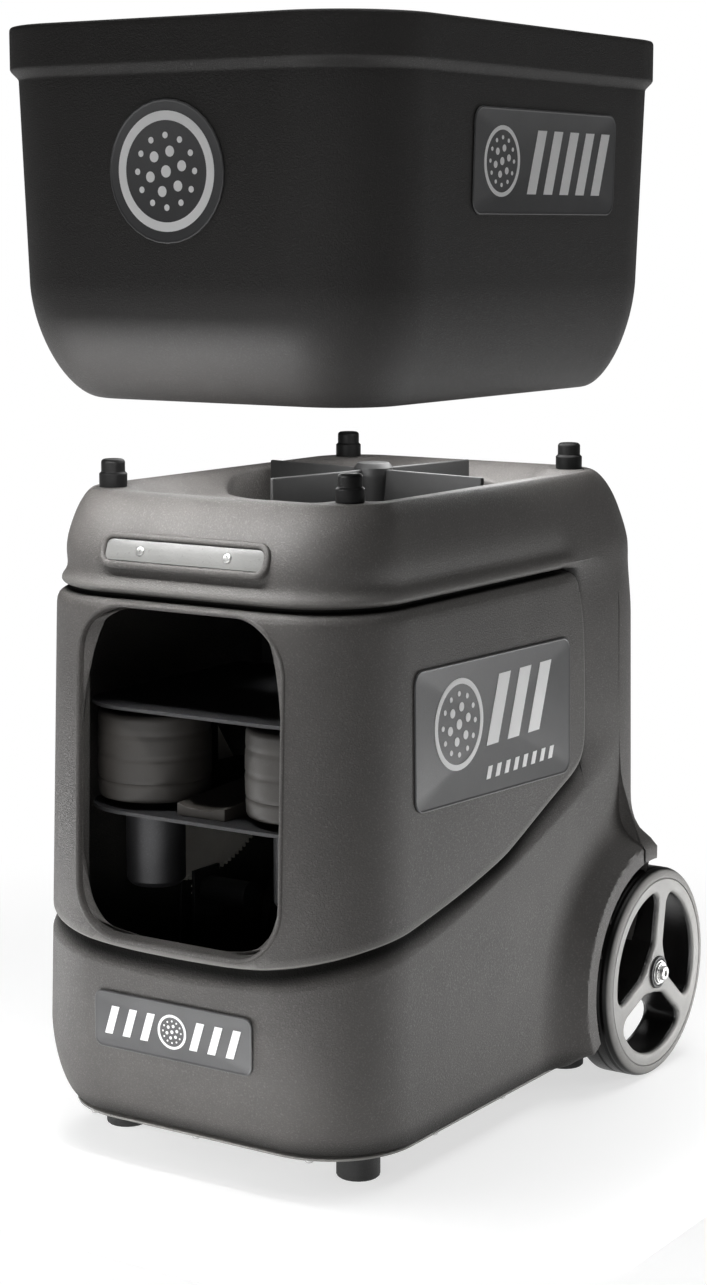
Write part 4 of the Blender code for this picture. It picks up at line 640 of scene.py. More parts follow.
def deck_mesh():
    """Deck: rings from the tray's outline to the bowl, its wall and fillet, and its floor with a hole."""
    count = 288
    across, along = np.cos(turns(count)), np.sin(turns(count))

    def ring(radius, z):
        return np.stack([across * radius, ROTOR_Y + along * radius, z + 0 * across * radius], -1)
    low, high = np.zeros(count), np.full(count, 0.5)
    for _ in range(40):
        mid = (low + high) / 2
        inside = tray_distance(across * mid, ROTOR_Y + along * mid) < 0
        low, high = np.where(inside, mid, low), np.where(inside, high, mid)
    rings = ring(low + (BOWL_R - low) * np.linspace(0, 1, 34)[:, None], 0.0)
    rings[..., 2] = deck_height(rings[..., 0], rings[..., 1])
    deck = Surface()
    deck.facing(np.concatenate([rings[:1] * [1, 1, 0] + [0, 0, DECK_Z - 0.004], rings]), (0, 0, 10.0))
    fall = [(0, 0), (0.0006, 0.0008), (0.0010, 0.0025), (0.0012, 0.012), (0.0020, 0.034)]
    wall = [ring(BOWL_R - d, rings[-1, :, 2] - f) for d, f in fall]
    wall += [ring(BOWL_R - 0.0022 - 0.006 * (1 - math.cos(a)), BOWL_FLOOR_Z + 0.006 * (1 - math.sin(a)))
             for a in np.linspace(0, math.pi / 2, 7)]
    deck.facing(np.stack(wall), (0, ROTOR_Y, BOWL_FLOOR_Z + 0.04))
    floor = ring(np.linspace(BOWL_R - 0.0082, 0.0, 44)[:, None], BOWL_FLOOR_Z)
    faces, edge, gap = pierced(floor, [(0, DROP_Y)], DROP_R)
    floor[..., 2] -= 0.0015 * smoothstep(1 - gap / 0.006)
    deck.patch(floor, faces)
    loop = in_order(floor, edge, np.arctan2(floor[..., 1] - DROP_Y, floor[..., 0]))
    deck.facing(np.stack([loop - [0, 0, drop] for drop in (0, 0.0015, 0.012)]), (0, DROP_Y, BOWL_FLOOR_Z))
    return deck.mesh("deck")


def posts_mesh():
    """Four locating posts: a foot fillet, a wide lower part, a rounded neck and a domed top."""
    low = DECK_Z + 0.0003
    profile = rounded_profile([(0.0, low), (0.0122, low), (0.0122, low + 0.0112), (0.0104, low + 0.0130),
                               (0.0104, low + 0.024), (0.0, low + 0.024)], [0.0004, 0.0010, 0.0008, 0.0032])
    posts = Surface()
    for x, y in POST_PLACES:
        posts.grid(revolve(profile, 48, (x, y, 0)))
    return posts.mesh("posts")


def rotor_mesh():
    """Feed rotor: a tapered hub with a cap, and four thin vanes turned ten degrees."""
    rotor = Surface()
    floor, high = BOWL_FLOOR_Z + 0.002, DECK_Z + 0.005
    vane = prism_rounded(box_outline(0.061, 0.0022, 0.0018, 4, 0.071), floor, high, 0.0012)
    for quarter in range(4):
        angle = math.radians(90 * quarter - 10)
        across, along = math.cos(angle), math.sin(angle)
        turn = np.array([[across, -along, 0], [along, across, 0], [0, 0, 1]])
        rotor.grid(vane @ turn.T + [0, ROTOR_Y, 0])
    profile = rounded_profile([(0.0, floor), (0.0125, floor), (0.0150, floor + 0.030), (0.0180, high - 0.006),
                               (0.0180, high + 0.001), (0.0145, high + 0.0055), (0.0, high + 0.0055)],
                              [0.001, 0.004, 0.001, 0.001, 0.0012])
    rotor.grid(revolve(profile, 56, (0, ROTOR_Y, 0)))
    return rotor.mesh("rotor")


# Hopper
HOP_FOOT = (0.14666, -0.2052, 0.2052, 0.050)      # half width, front, rear, corner radius
HOP_ROUND, HOP_BAND, HOP_WALL, DRAFT, BAND_STEP = 0.100, 0.270, 0.004, 0.0095, 0.005
HOP_WALK = np.cumsum([0.118, 0.085 * math.pi / 2, 0.354, 0.085 * math.pi / 2, 0.118])
OUTLET_R = 0.1375


def hopper_ring(t, h, inset=0.0):
    """Points of the hopper's skin at a walk t and a height h over its foot.

    Above the rounded underside the wall leans out by the draft; the rim band stands out by a smooth step;
    below it the section draws in to the foot by 1 - (1 - share^1.7)^(1/1.7).
    """
    lean = DRAFT - (DRAFT - BAND_STEP) * np.clip((h - HOP_ROUND) / (HOP_BAND - HOP_ROUND), 0, 1)
    lean = lean * (1 - smoothstep((h - HOP_BAND + 0.004) / 0.010))
    share = turn_over((HOP_ROUND - h) / HOP_ROUND, 1.7) * (h < HOP_ROUND)
    section = (0.203 - lean, -0.272 + lean, 0.252 - lean, 0.085)
    section = [here + share * (foot - here) for here, foot in zip(section, HOP_FOOT)]
    x, y, nx, ny = walk_to_ring(t, *section, HOP_WALK)
    return np.stack([x - nx * inset, y - ny * inset, HOPPER_Z + h + 0 * x], axis=-1)


def hopper_mesh():
    """Hopper: outer and inner skins joined by a rounded rim, and a floor with the outlet and four sockets."""
    half = [np.linspace(a, b, n, endpoint=False) for a, b, n in
            zip((0, *HOP_WALK[:-1]), HOP_WALK, (22, 36, 56, 36, 22))]
    t = both_ways(np.concatenate(half + [HOP_WALK[-1:]]))
    under, turn, lip = (np.linspace(0, math.pi / 2, n) for n in (36, 6, 4))
    outer = np.concatenate([HOP_ROUND * (1 - np.cos(under)), np.linspace(0.1, 0.262, 34)[1:],
                            np.linspace(0.263, 0.280, 24), np.linspace(0.282, 0.3065, 9)])
    inner = np.concatenate([np.linspace(0.300, 0.262, 8), np.linspace(0.25, 0.10, 12),
                            0.005 + 0.095 * (1 - np.sin(np.linspace(0, math.pi / 2, 18)))[1:]])
    heights = np.concatenate([outer, 0.3065 + 0.0035 * np.sin(turn[1:]), 0.310 - 0.0012 * (1 - np.cos(lip)),
                              inner])
    insets = np.concatenate([0 * outer, 0.0035 * (1 - np.cos(turn[1:])) * 0.6,
                             0.0040 - 0.0012 * (1 - np.sin(lip)), 0 * inner + HOP_WALL])
    hopper = Surface()
    hopper.grid(hopper_ring(t, heights[:, None], insets[:, None]))
    circles, share = [], np.linspace(0, 1, 26)[:, None, None]
    for h, inset, hole in ((0.005, HOP_WALL, 0.0150), (0.0, 0.0, 0.0136)):
        rim = hopper_ring(t, np.float64(h), inset)
        angle = np.arctan2(rim[:, 1] - ROTOR_Y, rim[:, 0])
        circles.append(np.stack([OUTLET_R * np.cos(angle), ROTOR_Y + OUTLET_R * np.sin(angle), rim[:, 2]], 1))
        floor = rim * (1 - share) + circles[-1] * share
        faces, edge, _ = pierced(floor, POST_PLACES, hole)
        hopper.patch(floor, faces if looks_at(floor, (0, 0, 10)) == (inset > 0) else faces[:, ::-1])
    corners = np.array([(0.0163, 0.005), (0.0163, 0.0298), (0.0, 0.0298)])
    boss = rounded_profile(corners + [0, HOPPER_Z], [0.002])
    lift = ((1, 0), (1, 0.0263), (0, 0.0263))
    for x, y in POST_PLACES:
        dx, dy = floor[..., 0] - x, floor[..., 1] - y
        loop = in_order(floor, edge & (np.hypot(dx, dy) < 0.02), np.arctan2(dy, dx))
        well = np.stack([(loop - [x, y, 0]) * [size, size, 1] + [x, y, z] for size, z in lift])
        hopper.facing(well, (x, y, HOPPER_Z))
        hopper.grid(revolve(boss, 40, (x, y, 0)))
    hopper.facing(np.stack(circles[::-1]), (0, ROTOR_Y, HOPPER_Z))
    return hopper.mesh("hopper")


# Wheels
WHEEL_R, SEAM_R, WHEEL_IN, WHEEL_OUT, BORE_R = 0.09995, 0.0896, 0.172, 0.212, 0.0063
WHEEL_MID, RIM_FILLET, THIRD = (WHEEL_IN + WHEEL_OUT) / 2, 0.0050, 2 * math.pi / 3
SPOKE_IN, SPOKE_OUT, SPOKE_HALF, SPOKE_TURN, SPOKE_SOFT = 0.0195, 0.0772, 0.0093, math.radians(81), 0.013


def spoke_gap(y, z):
    """Signed distance to the three openings of a rim, negative inside; they lie between three spokes."""
    r, angle = np.hypot(y, z), np.arctan2(z, y)
    sector = (angle - SPOKE_TURN) % THIRD
    from_spoke = np.minimum(sector, THIRD - sector)
    to_spoke = np.where(from_spoke < math.pi / 2, r * np.sin(from_spoke), r) - SPOKE_HALF
    lifted = np.stack([r - SPOKE_OUT, SPOKE_IN - r, -to_spoke]) + SPOKE_SOFT
    return np.linalg.norm(np.maximum(lifted, 0), axis=0) + np.minimum(lifted.max(0), 0) - SPOKE_SOFT


def rim_mesh(side):
    """Rim: two faces on polar grids, wide rounded edges round the openings, tunnels, bore and tyre seat."""
    radius = np.concatenate([np.linspace(BORE_R, 0.0165, 6), np.linspace(0.0178, 0.0800, 66),
                             [0.083, 0.0862, 0.0887, SEAM_R]])
    r, a = np.meshgrid(radius, turns(300), indexing="ij")
    y, z = r * np.cos(a), r * np.sin(a)
    faces, edge = cut(spoke_gap(y, z) > 0)
    y[edge], z[edge] = snap(y[edge], z[edge], spoke_gap, rounds=8, step=1e-5, least=0.2)
    gap = np.maximum(spoke_gap(y, z), 0)
    drop = RIM_FILLET * (1 - np.sqrt(1 - (1 - np.clip(gap / RIM_FILLET, 0, 1)) ** 2))
    drop = drop + 0.0007 * smoothstep((r - SEAM_R + 0.0010) / 0.0010)
    rim, grids = Surface(), []
    for face_x, out in ((WHEEL_OUT, 1), (WHEEL_IN, -1)):
        grids.append(np.stack([side * (face_x - out * drop), WHEEL_Y + y, WHEEL_Z + z], -1))
        rim.patch(grids[-1], faces if looks_at(grids[-1], (side * out * 10, 0, 0)) else faces[:, ::-1])
    sector = ((np.arctan2(z, y) - SPOKE_TURN) % (2 * math.pi)) // THIRD
    share = np.linspace(0, 1, 6)[:, None, None]
    for k in range(3):
        turn = SPOKE_TURN + (k + 0.5) * THIRD
        cy, cz = 0.047 * math.cos(turn), 0.047 * math.sin(turn)
        near, far = (in_order(grid, edge & (sector == k), np.arctan2(z - cz, y - cy)) for grid in grids)
        rim.facing(near * (1 - share) + far * share, (side * 0.19, WHEEL_Y + cy, WHEEL_Z + cz))
    for row in (-1, 0):
        rim.facing(np.stack([grid[row] for grid in grids]), (side * 0.19, WHEEL_Y, WHEEL_Z), away=row < 0)
    return rim.mesh("rim")


def turned_mesh(name, profiles, side=1, hexagon_rows=(), steps=48):
    """Closed (radius, x) profiles turned about the axle; the last one's named rows are made a hexagon."""
    turned = Surface()
    squeeze = math.cos(math.pi / 6) / np.cos((turns(steps) + math.pi / 6) % (math.pi / 3) - math.pi / 6)
    for profile in profiles:
        grid = revolve(np.array(profile) * [1, side], steps, along_x=True)
        for row in hexagon_rows if profile is profiles[-1] else ():
            grid[row, :, 1:] *= squeeze[:, None]
        turned.grid(grid + [0, WHEEL_Y, WHEEL_Z])
    return turned.mesh(name)


def tyre_mesh(side):
    """Tyre: flush side walls, a round outer shoulder, and a tread with a bead and two grooves."""
    wide, low, high = (WHEEL_OUT - WHEEL_IN) / 2, SEAM_R + 0.0005, WHEEL_R

    def arc(drop, x, radius, start, end, steps, base=high):
        turn = np.radians(np.linspace(start, end, steps + 1))
        return np.stack([base - drop + radius * np.cos(turn), x + radius * np.sin(turn)], 1)
    profile = np.concatenate([
        [(low, 0), (low, wide - 0.0007)], arc(-0.0006, wide - 0.0006, 0.0006, 180, 90, 3, low),
        arc(0.0078, wide - 0.0078, 0.0078, 90, 6, 9), [(high - 0.0013, 0.0113), (high - 0.0013, 0.0103)],
        arc(0.0010, 0.0085, 0.0010, 40, 0, 3), [(high, 0.0025)], arc(0.0009, 0.0008, 0.0009, 20, -10, 3),
        [(high - 0.0012, 0.0002), (high - 0.0012, -0.0008)], arc(0.0009, -0.0020, 0.0009, 20, 0, 3),
        arc(0.0045, 0.0045 - wide, 0.0045, 0, -90, 6),
        [(low + 0.0006, -wide), (low, 0.0006 - wide), (low, 0)]])
    return turned_mesh("tyre", [profile + [0, WHEEL_MID]], side, steps=160)


def washer_mesh(side):
    """Dark washer with a turned-up edge between a wheel and its collar."""
    corners = np.array([(0, 0), (155, 0), (155, 22), (132, 22), (128, 12), (0, 12)]) / 1e4
    profile = rounded_profile(corners + [0, WHEEL_OUT + 0.0004], [4e-4, 6e-4, 4e-4, 3e-4])
    return turned_mesh("washer", [profile], side)


def axle_end_mesh(side):
    """Collar, snap ring and round head with a hexagon socket, on the end of the axle."""
    def spots(*corners):
        return np.array(corners) / 1e4 + [0, WHEEL_OUT + 0.0018]
    corners = spots((0, 0), (118, 0), (118, 14), (96, 14), (96, 22), (104, 22), (104, 34), (86, 34),
                    (86, 42), (0, 42))
    collar = rounded_profile(corners, [3e-4, 5e-4, 0, 0, 4e-4, 4e-4, 0, 3e-4])
    head = rounded_profile(spots((0, 40), (68, 40), (68, 74), (36, 74)), [0, 0.0011])
    socket = spots((33, 71), (32, 50), (0, 44))
    rows = len(head) - 1
    return turned_mesh("axle_end", [collar, np.concatenate([head, socket])], side, (rows, rows + 1, rows + 2))


def axle_mesh():
    """Axle rod between the two collars."""
    end = WHEEL_OUT + 0.0016
    return turned_mesh("axle", [[(0.0, -end), (0.0058, -end), (0.0058, end), (0.0, end)]], steps=32)


COVER = (0.1702, FRONT + 0.0275, REAR - 0.0265, 0.0805)      # half width, front, rear, corner radius


def bottom_cover_mesh():
    """Bottom cover: a plate a little wider than the skin's foot, with a rounded edge."""
    x, y, _, _ = walk_to_ring(both_ways(np.linspace(0, WALK[-1], 160)), *COVER)
    cover = Surface()
    cover.grid(prism_rounded(np.stack([x, y], 1), BASE_Z - 0.0027, BASE_Z - 0.0003, 0.0009))
    return cover.mesh("bottom_cover")


# Light bar
LIGHT_Z, LIGHT_HALF, LIGHT_HIGH = DECK_Z - 0.045, 0.0875, 0.0155


def shoulder_frame():
    """Origin and axes that lay a flat piece against the front shoulder at the light's height."""
    front = body_section(np.array([LIGHT_Z - LIGHT_HIGH / 2, LIGHT_Z, LIGHT_Z + LIGHT_HIGH / 2]))[1]
    slope = (front[2] - front[0]) / LIGHT_HIGH
    up, out = np.array([[0.0, slope, 1.0], [0.0, -1.0, slope]]) / math.hypot(slope, 1.0)
    return np.array([0.0, front[1], LIGHT_Z]), np.array([1.0, 0, 0]), up, out


def laid_on(points, origin, right, up, out):
    """Flat points (across, up, out) laid on a place with axes of its own."""
    return origin + points[..., :1] * right + points[..., 1:2] * up + points[..., 2:] * out


def bezel_mesh():
    """Light's bezel: a frame round the lens, its section a low rounded ridge, carried round the outline."""
    section = np.array([(0, -40), (0, 10), (4, 20), (14, 28), (30, 31), (46, 29), (54, 22), (58, 12), (60, -5),
                        (60, -40), (0, -40)]) / 1e4
    rings = [np.insert(box_outline(LIGHT_HALF - inset, LIGHT_HIGH - inset, max(0.0130 - inset, 0.004), 10),
                       2, height, axis=1) for inset, height in section]
    bezel = Surface()
    bezel.grid(laid_on(np.stack(rings), *shoulder_frame()))
    return bezel.mesh("bezel")


def lens_mesh():
    """Lens: a slab with rounded edges behind the bezel."""
    lens = Surface()
    outline = box_outline(LIGHT_HALF - 0.0062, LIGHT_HIGH - 0.0062, 0.006, 10)
    lens.grid(laid_on(prism_rounded(outline, -0.0036, 0.0006, 0.0006), *shoulder_frame()))
    return lens.mesh("lens")


def screw_heads_mesh(places, radius, height):
    """Pan-head screws: each one a low dome with a cross recess, on its own place and axes."""
    heads, spin = Surface(), turns(32)
    rows = np.array([(100, 0), (100, 35), (93, 62), (80, 82), (62, 94), (48, 98), (44, 98), (20, 55),
                     (0, 50)]) / 100
    reach = radius * rows[:, :1] * np.ones(len(spin))
    reach[6:8] *= 0.42 + 0.58 * (np.abs(np.cos(2 * spin)) ** 6)
    grid = np.stack([reach * np.cos(spin), reach * np.sin(spin), rows[:, 1:] * height + 0 * reach], -1)
    for place in places:
        heads.grid(laid_on(grid, *place))
    return heads.mesh("screws")


def light_screws():
    """Places of the two screws in the lens."""
    origin, right, up, out = shoulder_frame()
    return [(origin + right * x + out * 0.0004, right, up, out) for x in (-0.045, 0.045)]


def under_screws():
    """Places of the screws under the lower edge, heads down."""
    places, down = [], np.array([0, 0, -1.0])
    for t in (0.0, -0.12, 0.12, -0.28, 0.28, -0.407, 0.407, -0.545, 0.545, 0.82, -0.82):
        x, y, nx, ny = (float(v) for v in walk_to_ring(np.array(t), *COVER))
        across = np.array([ny, -nx, 0.0])
        places.append((np.array([x - nx * 0.0045, y - ny * 0.0045, BASE_Z - 0.0026]), across,
                       np.cross(across, -down), down))
    return places


# Plates and motifs
PLATE_FACE = 0.0006                         # how far a plate's face is sunk behind its bead


def plate_place(node, outward):
    """Place, outline and thickness of a flat CAD plate.

    Its thinnest direction, by singular values, is outward; the points of its outer face, in order round
    their middle, are the outline, counted from the middle of their extent.
    """
    data = NODES[node].data
    points = np.empty(len(data.vertices) * 3)
    data.vertices.foreach_get("co", points)
    points = points.reshape(-1, 3)
    centre = points.mean(0)
    out = np.linalg.svd(points - centre, full_matrices=False)[2][2]
    out = out * math.copysign(1, float(out @ np.asarray(outward, float)))
    up = np.array([0, 0, 1.0]) - out * out[2]
    up = up / np.linalg.norm(up)
    right = np.cross(up, out)
    depth = (points - centre) @ out
    face = points[depth > depth.max() - 2e-4]
    flat = np.unique(np.round(np.stack([(face - centre) @ right, (face - centre) @ up], 1), 5), axis=0)
    shift = (flat.max(0) + flat.min(0)) / 2
    flat = flat - shift
    outline = flat[np.argsort(np.arctan2(flat[:, 1], flat[:, 0]))]
    origin = centre + out * depth.max() + right * shift[0] + up * shift[1]
    return (origin, right, up, out), outline, float(depth.max() - depth.min())


def plate_mesh(name, outline, thick, place):
    """Plate: its outline drawn in by insets at heights that make a round bead and a sunk face."""
    plate = Surface()
    plate.grid(laid_on(inset_rings(outline, [
        (0.0003, -thick), (0.0, 0.0003 - thick), (0.0, -0.0007), (0.0002, -0.0003), (0.0006, -0.00005),
        (0.0010, 0.0), (0.0015, -0.0001), (0.0020, -0.0005), (0.0024, -PLATE_FACE)]), *place))
    return plate.mesh(name, 0.0)


def circle(x, y, radius, count):
    """Circle as an outline."""
    return np.stack([x + radius * np.cos(turns(count)), y + radius * np.sin(turns(count))], 1)


def ball_spots(x, y, radius):
    """Outlines of a perforated ball's holes: one, six round it, and twelve smaller ones near its edge."""
    spots = [(0.0, 0.0, 0.14)] + [(0.47, a, 0.125) for a in np.arange(6) * math.pi / 3 + 0.26]
    spots += [(0.82, a, 0.075) for a in np.arange(12) * math.pi / 6]
    return [circle(x + r * math.cos(a) * radius, y + r * math.sin(a) * radius, size * radius, 22)
            for r, a, size in spots]


def stripes(xs, y, half_high, lean, width):
    """Outlines of slanted speed stripes at several x: parallelograms that lean to the right."""
    corners = np.array([(-1, -1), (1, -1), (1, 1), (-1, 1)])
    return [corners * [width / 2, half_high] + corners[:, 1:] * [lean, 0] + [x, y] for x in xs]


def print_mesh(name, place, ball, marks):
    """Printed motif on a plate's face: a ring with its ball's spots, and marks, all thin raised patches."""
    motif, low, high = Surface(), -PLATE_FACE, 0.00035 - PLATE_FACE
    x, y, inner, outer, spots = ball
    for outline in marks + ball_spots(x, y, spots):
        motif.grid(laid_on(prism_rounded(outline, low, high, (high - low) * 0.3, 1), *place))
    section = ((inner, low), (outer, low), (outer, high), (inner, high), (inner, low))
    motif.grid(laid_on(np.stack([np.insert(circle(x, y, r, 72), 2, h, axis=1) for r, h in section]), *place))
    return motif.mesh(name, 0.0)


MOTIFS = {                    # ball: place, ring's inner and outer radius, spots' radius; marks
    "hopper_badge": ((0, 0, 0.0405, 0.0480, 0.0350), []),
    "hopper_plate": ((-0.076, 0, 0.0255, 0.0290, 0.0235),
                     stripes((-0.018, 0.010, 0.038, 0.066, 0.094), 0, 0.0265, 0.0080, 0.0150)),
    "side_plate": ((-0.062, 0.010, 0.0345, 0.0395, 0.0320),
                   stripes((0.004, 0.040, 0.076), 0.014, 0.0300, 0.0110, 0.0200)
                   + stripes([0.0155 * k - 0.012 for k in range(8)], -0.040, 0.0055, 0.0020, 0.0070)),
    "front_plate": ((0, 0, 0.0128, 0.0150, 0.0115),
                    stripes((-0.064, -0.045, -0.026, 0.026, 0.045, 0.064), 0, 0.0125, 0.0040, 0.0080)),
}


def throw_wheel_mesh(side):
    """Throwing wheel: a crowned tyre with three grooves, and a dished top with a raised hub."""
    node = f"throw_wheel_{'left' if side < 0 else 'right'}"
    x, y, _ = middle(node)
    (_, _, low), (_, _, high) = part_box(node)
    tread = [(0.0463, low + 0.0095), (0.0476, low + 0.0100), (0.0484, low + 0.0112)]
    heights = np.linspace(low + 0.0130, high - 0.0030, 33)
    share = (heights - (low + high + 0.009) / 2) / ((high - low - 0.009) / 2)
    grooves = np.exp(-((np.abs(share) - 0.55) / 0.035) ** 2) + np.exp(-(share / 0.035) ** 2)
    tread += list(zip(0.0499 - 0.0012 * share ** 2 - 0.0010 * grooves, heights))
    down = [(0.0480, 14), (0.0470, 3), (0.0455, 0), (0.0405, 0), (0.0398, 6), (0.0388, 28), (0.0220, 30),
            (0.0212, 20), (0.0208, 3), (0.0200, 0), (0.0080, 0), (0.0075, 6), (0.0072, 60), (0.0, 60)]
    profile = [(0.0, low + 0.0002), (0.0068, low + 0.0002), (0.0070, low + 0.0088), (0.0120, low + 0.0092)] \
        + tread + [(radius, high - drop / 1e4) for radius, drop in down]
    wheel = Surface()
    wheel.grid(revolve(profile, 120, (x, y, 0)))
    return wheel.mesh("throw_wheel", 0.0)


# Materials
def feed(tree, node, inputs):
    """Give a node's inputs a value each, or a socket to be linked from."""
    for key, value in inputs.items():
        if isinstance(value, bpy.types.NodeSocket):
            tree.links.new(value, node.inputs[key])
        else:
            node.inputs[key].default_value = value
    return node


def add_node(tree, kind, inputs=None, **settings):
    """Shader node with its settings and its inputs."""
    node = tree.nodes.new("ShaderNode" + kind)
    for key, value in settings.items():
        setattr(node, key, value)
    return feed(tree, node, inputs or {})


def grain_group():
    """Mould grain: a fine and a coarse noise give a fleck mask, a blotch mask and a bumped normal."""
    group = bpy.data.node_groups.get("mould_grain")
    if group:
        return group
    group = bpy.data.node_groups.new("mould_grain", "ShaderNodeTree")
    for name in ("Scale", "Height", "Fleck", "Blotch", "Normal"):
        group.interface.new_socket(name, in_out="INPUT" if name in ("Scale", "Height") else "OUTPUT",
                                   socket_type="NodeSocketVector" if name == "Normal" else "NodeSocketFloat")
    source, sink = group.nodes.new("NodeGroupInput").outputs, group.nodes.new("NodeGroupOutput")
    place = add_node(group, "TexCoord").outputs["Object"]
    fine = add_node(group, "TexNoise", {"Vector": place, "Scale": source["Scale"], "Detail": 3.0,
                                        "Roughness": 0.65}).outputs["Fac"]
    coarse = add_node(group, "TexNoise", {"Vector": place, "Scale": 14.0, "Detail": 4.0, "Roughness": 0.6})
    fleck = add_node(group, "MapRange", {"Value": fine, "From Min": 0.50, "From Max": 0.72},
                     interpolation_type="SMOOTHSTEP")
    blotch = add_node(group, "MapRange", {"Value": coarse.outputs["Fac"], "From Min": 0.35, "From Max": 0.65})
    bump = add_node(group, "Bump", {"Height": fine, "Distance": source["Height"], "Strength": 1.0})
    feed(group, sink, {"Fleck": fleck.outputs["Result"], "Blotch": blotch.outputs["Result"],
                       "Normal": bump.outputs["Normal"]})
    return group


FINISHES = {                  # colour, roughness, grain's scale and height, share of fleck, other values
    "moulded_body": ("body", 0.52, 650.0, 0.0007, 0.75, {}),
    "moulded_hopper": ("hopper", 0.50, 750.0, 0.0005, 0.45, {"Specular IOR Level": 0.35}),
    # Tyre and rim take the rims' pale colour, painted light on their outer faces
    "tyre": ("rim", 0.50, 1300.0, 0.00015, 0.25, {"Specular IOR Level": 0.15}),
    "rim_plastic": ("rim", 0.46, 1400.0, 0.00012, 0.25, {}),
    "print": ("motif", 0.45, 1800.0, 0.00004, 0.1, {}),
    "black_plastic": ((0.014, 0.014, 0.014), 0.42, 1500.0, 0.0001, 0.3, {}),
    "post": ((0.006, 0.006, 0.006), 0.35, 900.0, 0.0001, 0.1, {"Specular IOR Level": 0.1}),
    "rubber": ((0.008, 0.008, 0.008), 0.62, 1200.0, 0.0002, 0.3, {}),
    "cover_sheet": ((0.20, 0.195, 0.185), 0.42, 900.0, 0.00008, 0.2, {}),
    "steel": ((0.55, 0.55, 0.54), 0.30, 600.0, 0.00005, 0.2, {"Metallic": 1.0}),
    "plate": ((0.055, 0.055, 0.057), 0.38, 1800.0, 0.00005, 0.25, {}),
    "lens": ((0.16, 0.16, 0.155), 0.30, 300.0, 0.0002, 0.15, {"Coat Weight": 0.3, "Coat Roughness": 0.10}),
    "urethane": ((0.030, 0.027, 0.024), 0.50, 1200.0, 0.0001, 0.2, {}),
    "guide_plastic": ((0.035, 0.031, 0.027), 0.46, 1300.0, 0.0001, 0.2, {}),
    "anodised_tube": ((0.60, 0.60, 0.61), 0.34, 500.0, 0.00004, 0.2, {"Metallic": 1.0}),
    "dark_metal": ((0.05, 0.05, 0.052), 0.42, 900.0, 0.00008, 0.3, {"Metallic": 0.7}),
    "nylon": ((0.62, 0.60, 0.55), 0.45, 1300.0, 0.00008, 0.2, {}),
    "red_plastic": ((0.55, 0.012, 0.010), 0.38, 1500.0, 0.00005, 0.2, {}),
    "battery_case": ((0.03, 0.032, 0.036), 0.42, 1300.0, 0.0001, 0.3, {}),
}
SLOT_FINISHES = {"foot_rubber": "rubber", "aluminium_tube": "anodised_tube", "plate": "black_plastic"}
TYRE_SHADE, BLOTCH, PRINT_BLOTCH, GLOSS = 0.86, 0.12, 0.03, 0.08


def finish(name):
    """Material of a finish: colour flecked and blotched by the grain, roughness varied, surface bumped."""
    material = bpy.data.materials.get(name + "_finish")
    if material:
        return material
    colour, roughness, scale, height, fleck_share, more = FINISHES[name]
    if isinstance(colour, str):
        colour = getattr(bpy.context.scene.colours, colour)
    colour = [c * (TYRE_SHADE if name == "tyre" else 1.0) for c in colour]
    material = bpy.data.materials.new(name + "_finish")
    material.use_nodes = True
    tree = material.node_tree
    grain = add_node(tree, "Group", node_tree=grain_group())
    feed(tree, grain, {"Scale": scale, "Height": height})
    blotch = PRINT_BLOTCH if name == "print" else BLOTCH
    fleck = grain.outputs["Fleck"]
    ground = add_node(tree, "Mix", data_type="RGBA")
    feed(tree, ground, {"Factor": grain.outputs["Blotch"], "A": [c * (1 - blotch) for c in colour] + [1],
                        "B": [min(c * (1 + blotch), 1.0) for c in colour] + [1]})
    share = add_node(tree, "Math", {0: fleck, 1: fleck_share}, operation="MULTIPLY")
    speckle = add_node(tree, "Mix", data_type="RGBA")
    feed(tree, speckle, {"Factor": share.outputs[0], "A": ground.outputs["Result"],
                         "B": [min(c * 1.6 + 0.01, 1.0) for c in colour] + [1]})
    rough = add_node(tree, "MapRange", {"Value": fleck, "To Min": roughness + GLOSS,
                                        "To Max": roughness - GLOSS})
    feed(tree, tree.nodes["Principled BSDF"], {"Base Color": speckle.outputs["Result"], **more,
                                               "Roughness": rough.outputs["Result"],
                                               "Normal": grain.outputs["Normal"]})
    return material


def body_finish():
    """Rotomoulded body: warm dark grey with a coarse fleck; painted shade makes it darker and duller in its
    recesses, and a painted highlight makes its edges lighter.
    """
    if "moulded_body_finish" in bpy.data.materials:
        return bpy.data.materials["moulded_body_finish"]
    material = finish("moulded_body")
    tree = material.node_tree
    shader = tree.nodes["Principled BSDF"]
    # Light tint: painted highlight on the edges; near-black tint: painted shade in the cove, the groove and
    # the foot
    for name, tint in (("Edge", (0.20, 0.195, 0.185, 1)), ("Recess", (0.006, 0.006, 0.0055, 1))):
        share = add_node(tree, "Attribute", attribute_name=name).outputs["Fac"]
        shade = add_node(tree, "Mix", data_type="RGBA")
        feed(tree, shade, {"Factor": share, "A": shader.inputs["Base Color"].links[0].from_socket, "B": tint})
        feed(tree, shader, {"Base Color": shade.outputs["Result"]})
    # The painted shade also lowers the shine
    dull = add_node(tree, "MapRange", {"Value": share, "To Min": 0.5, "To Max": 0.06})
    feed(tree, shader, {"Specular IOR Level": dull.outputs["Result"]})
    return material


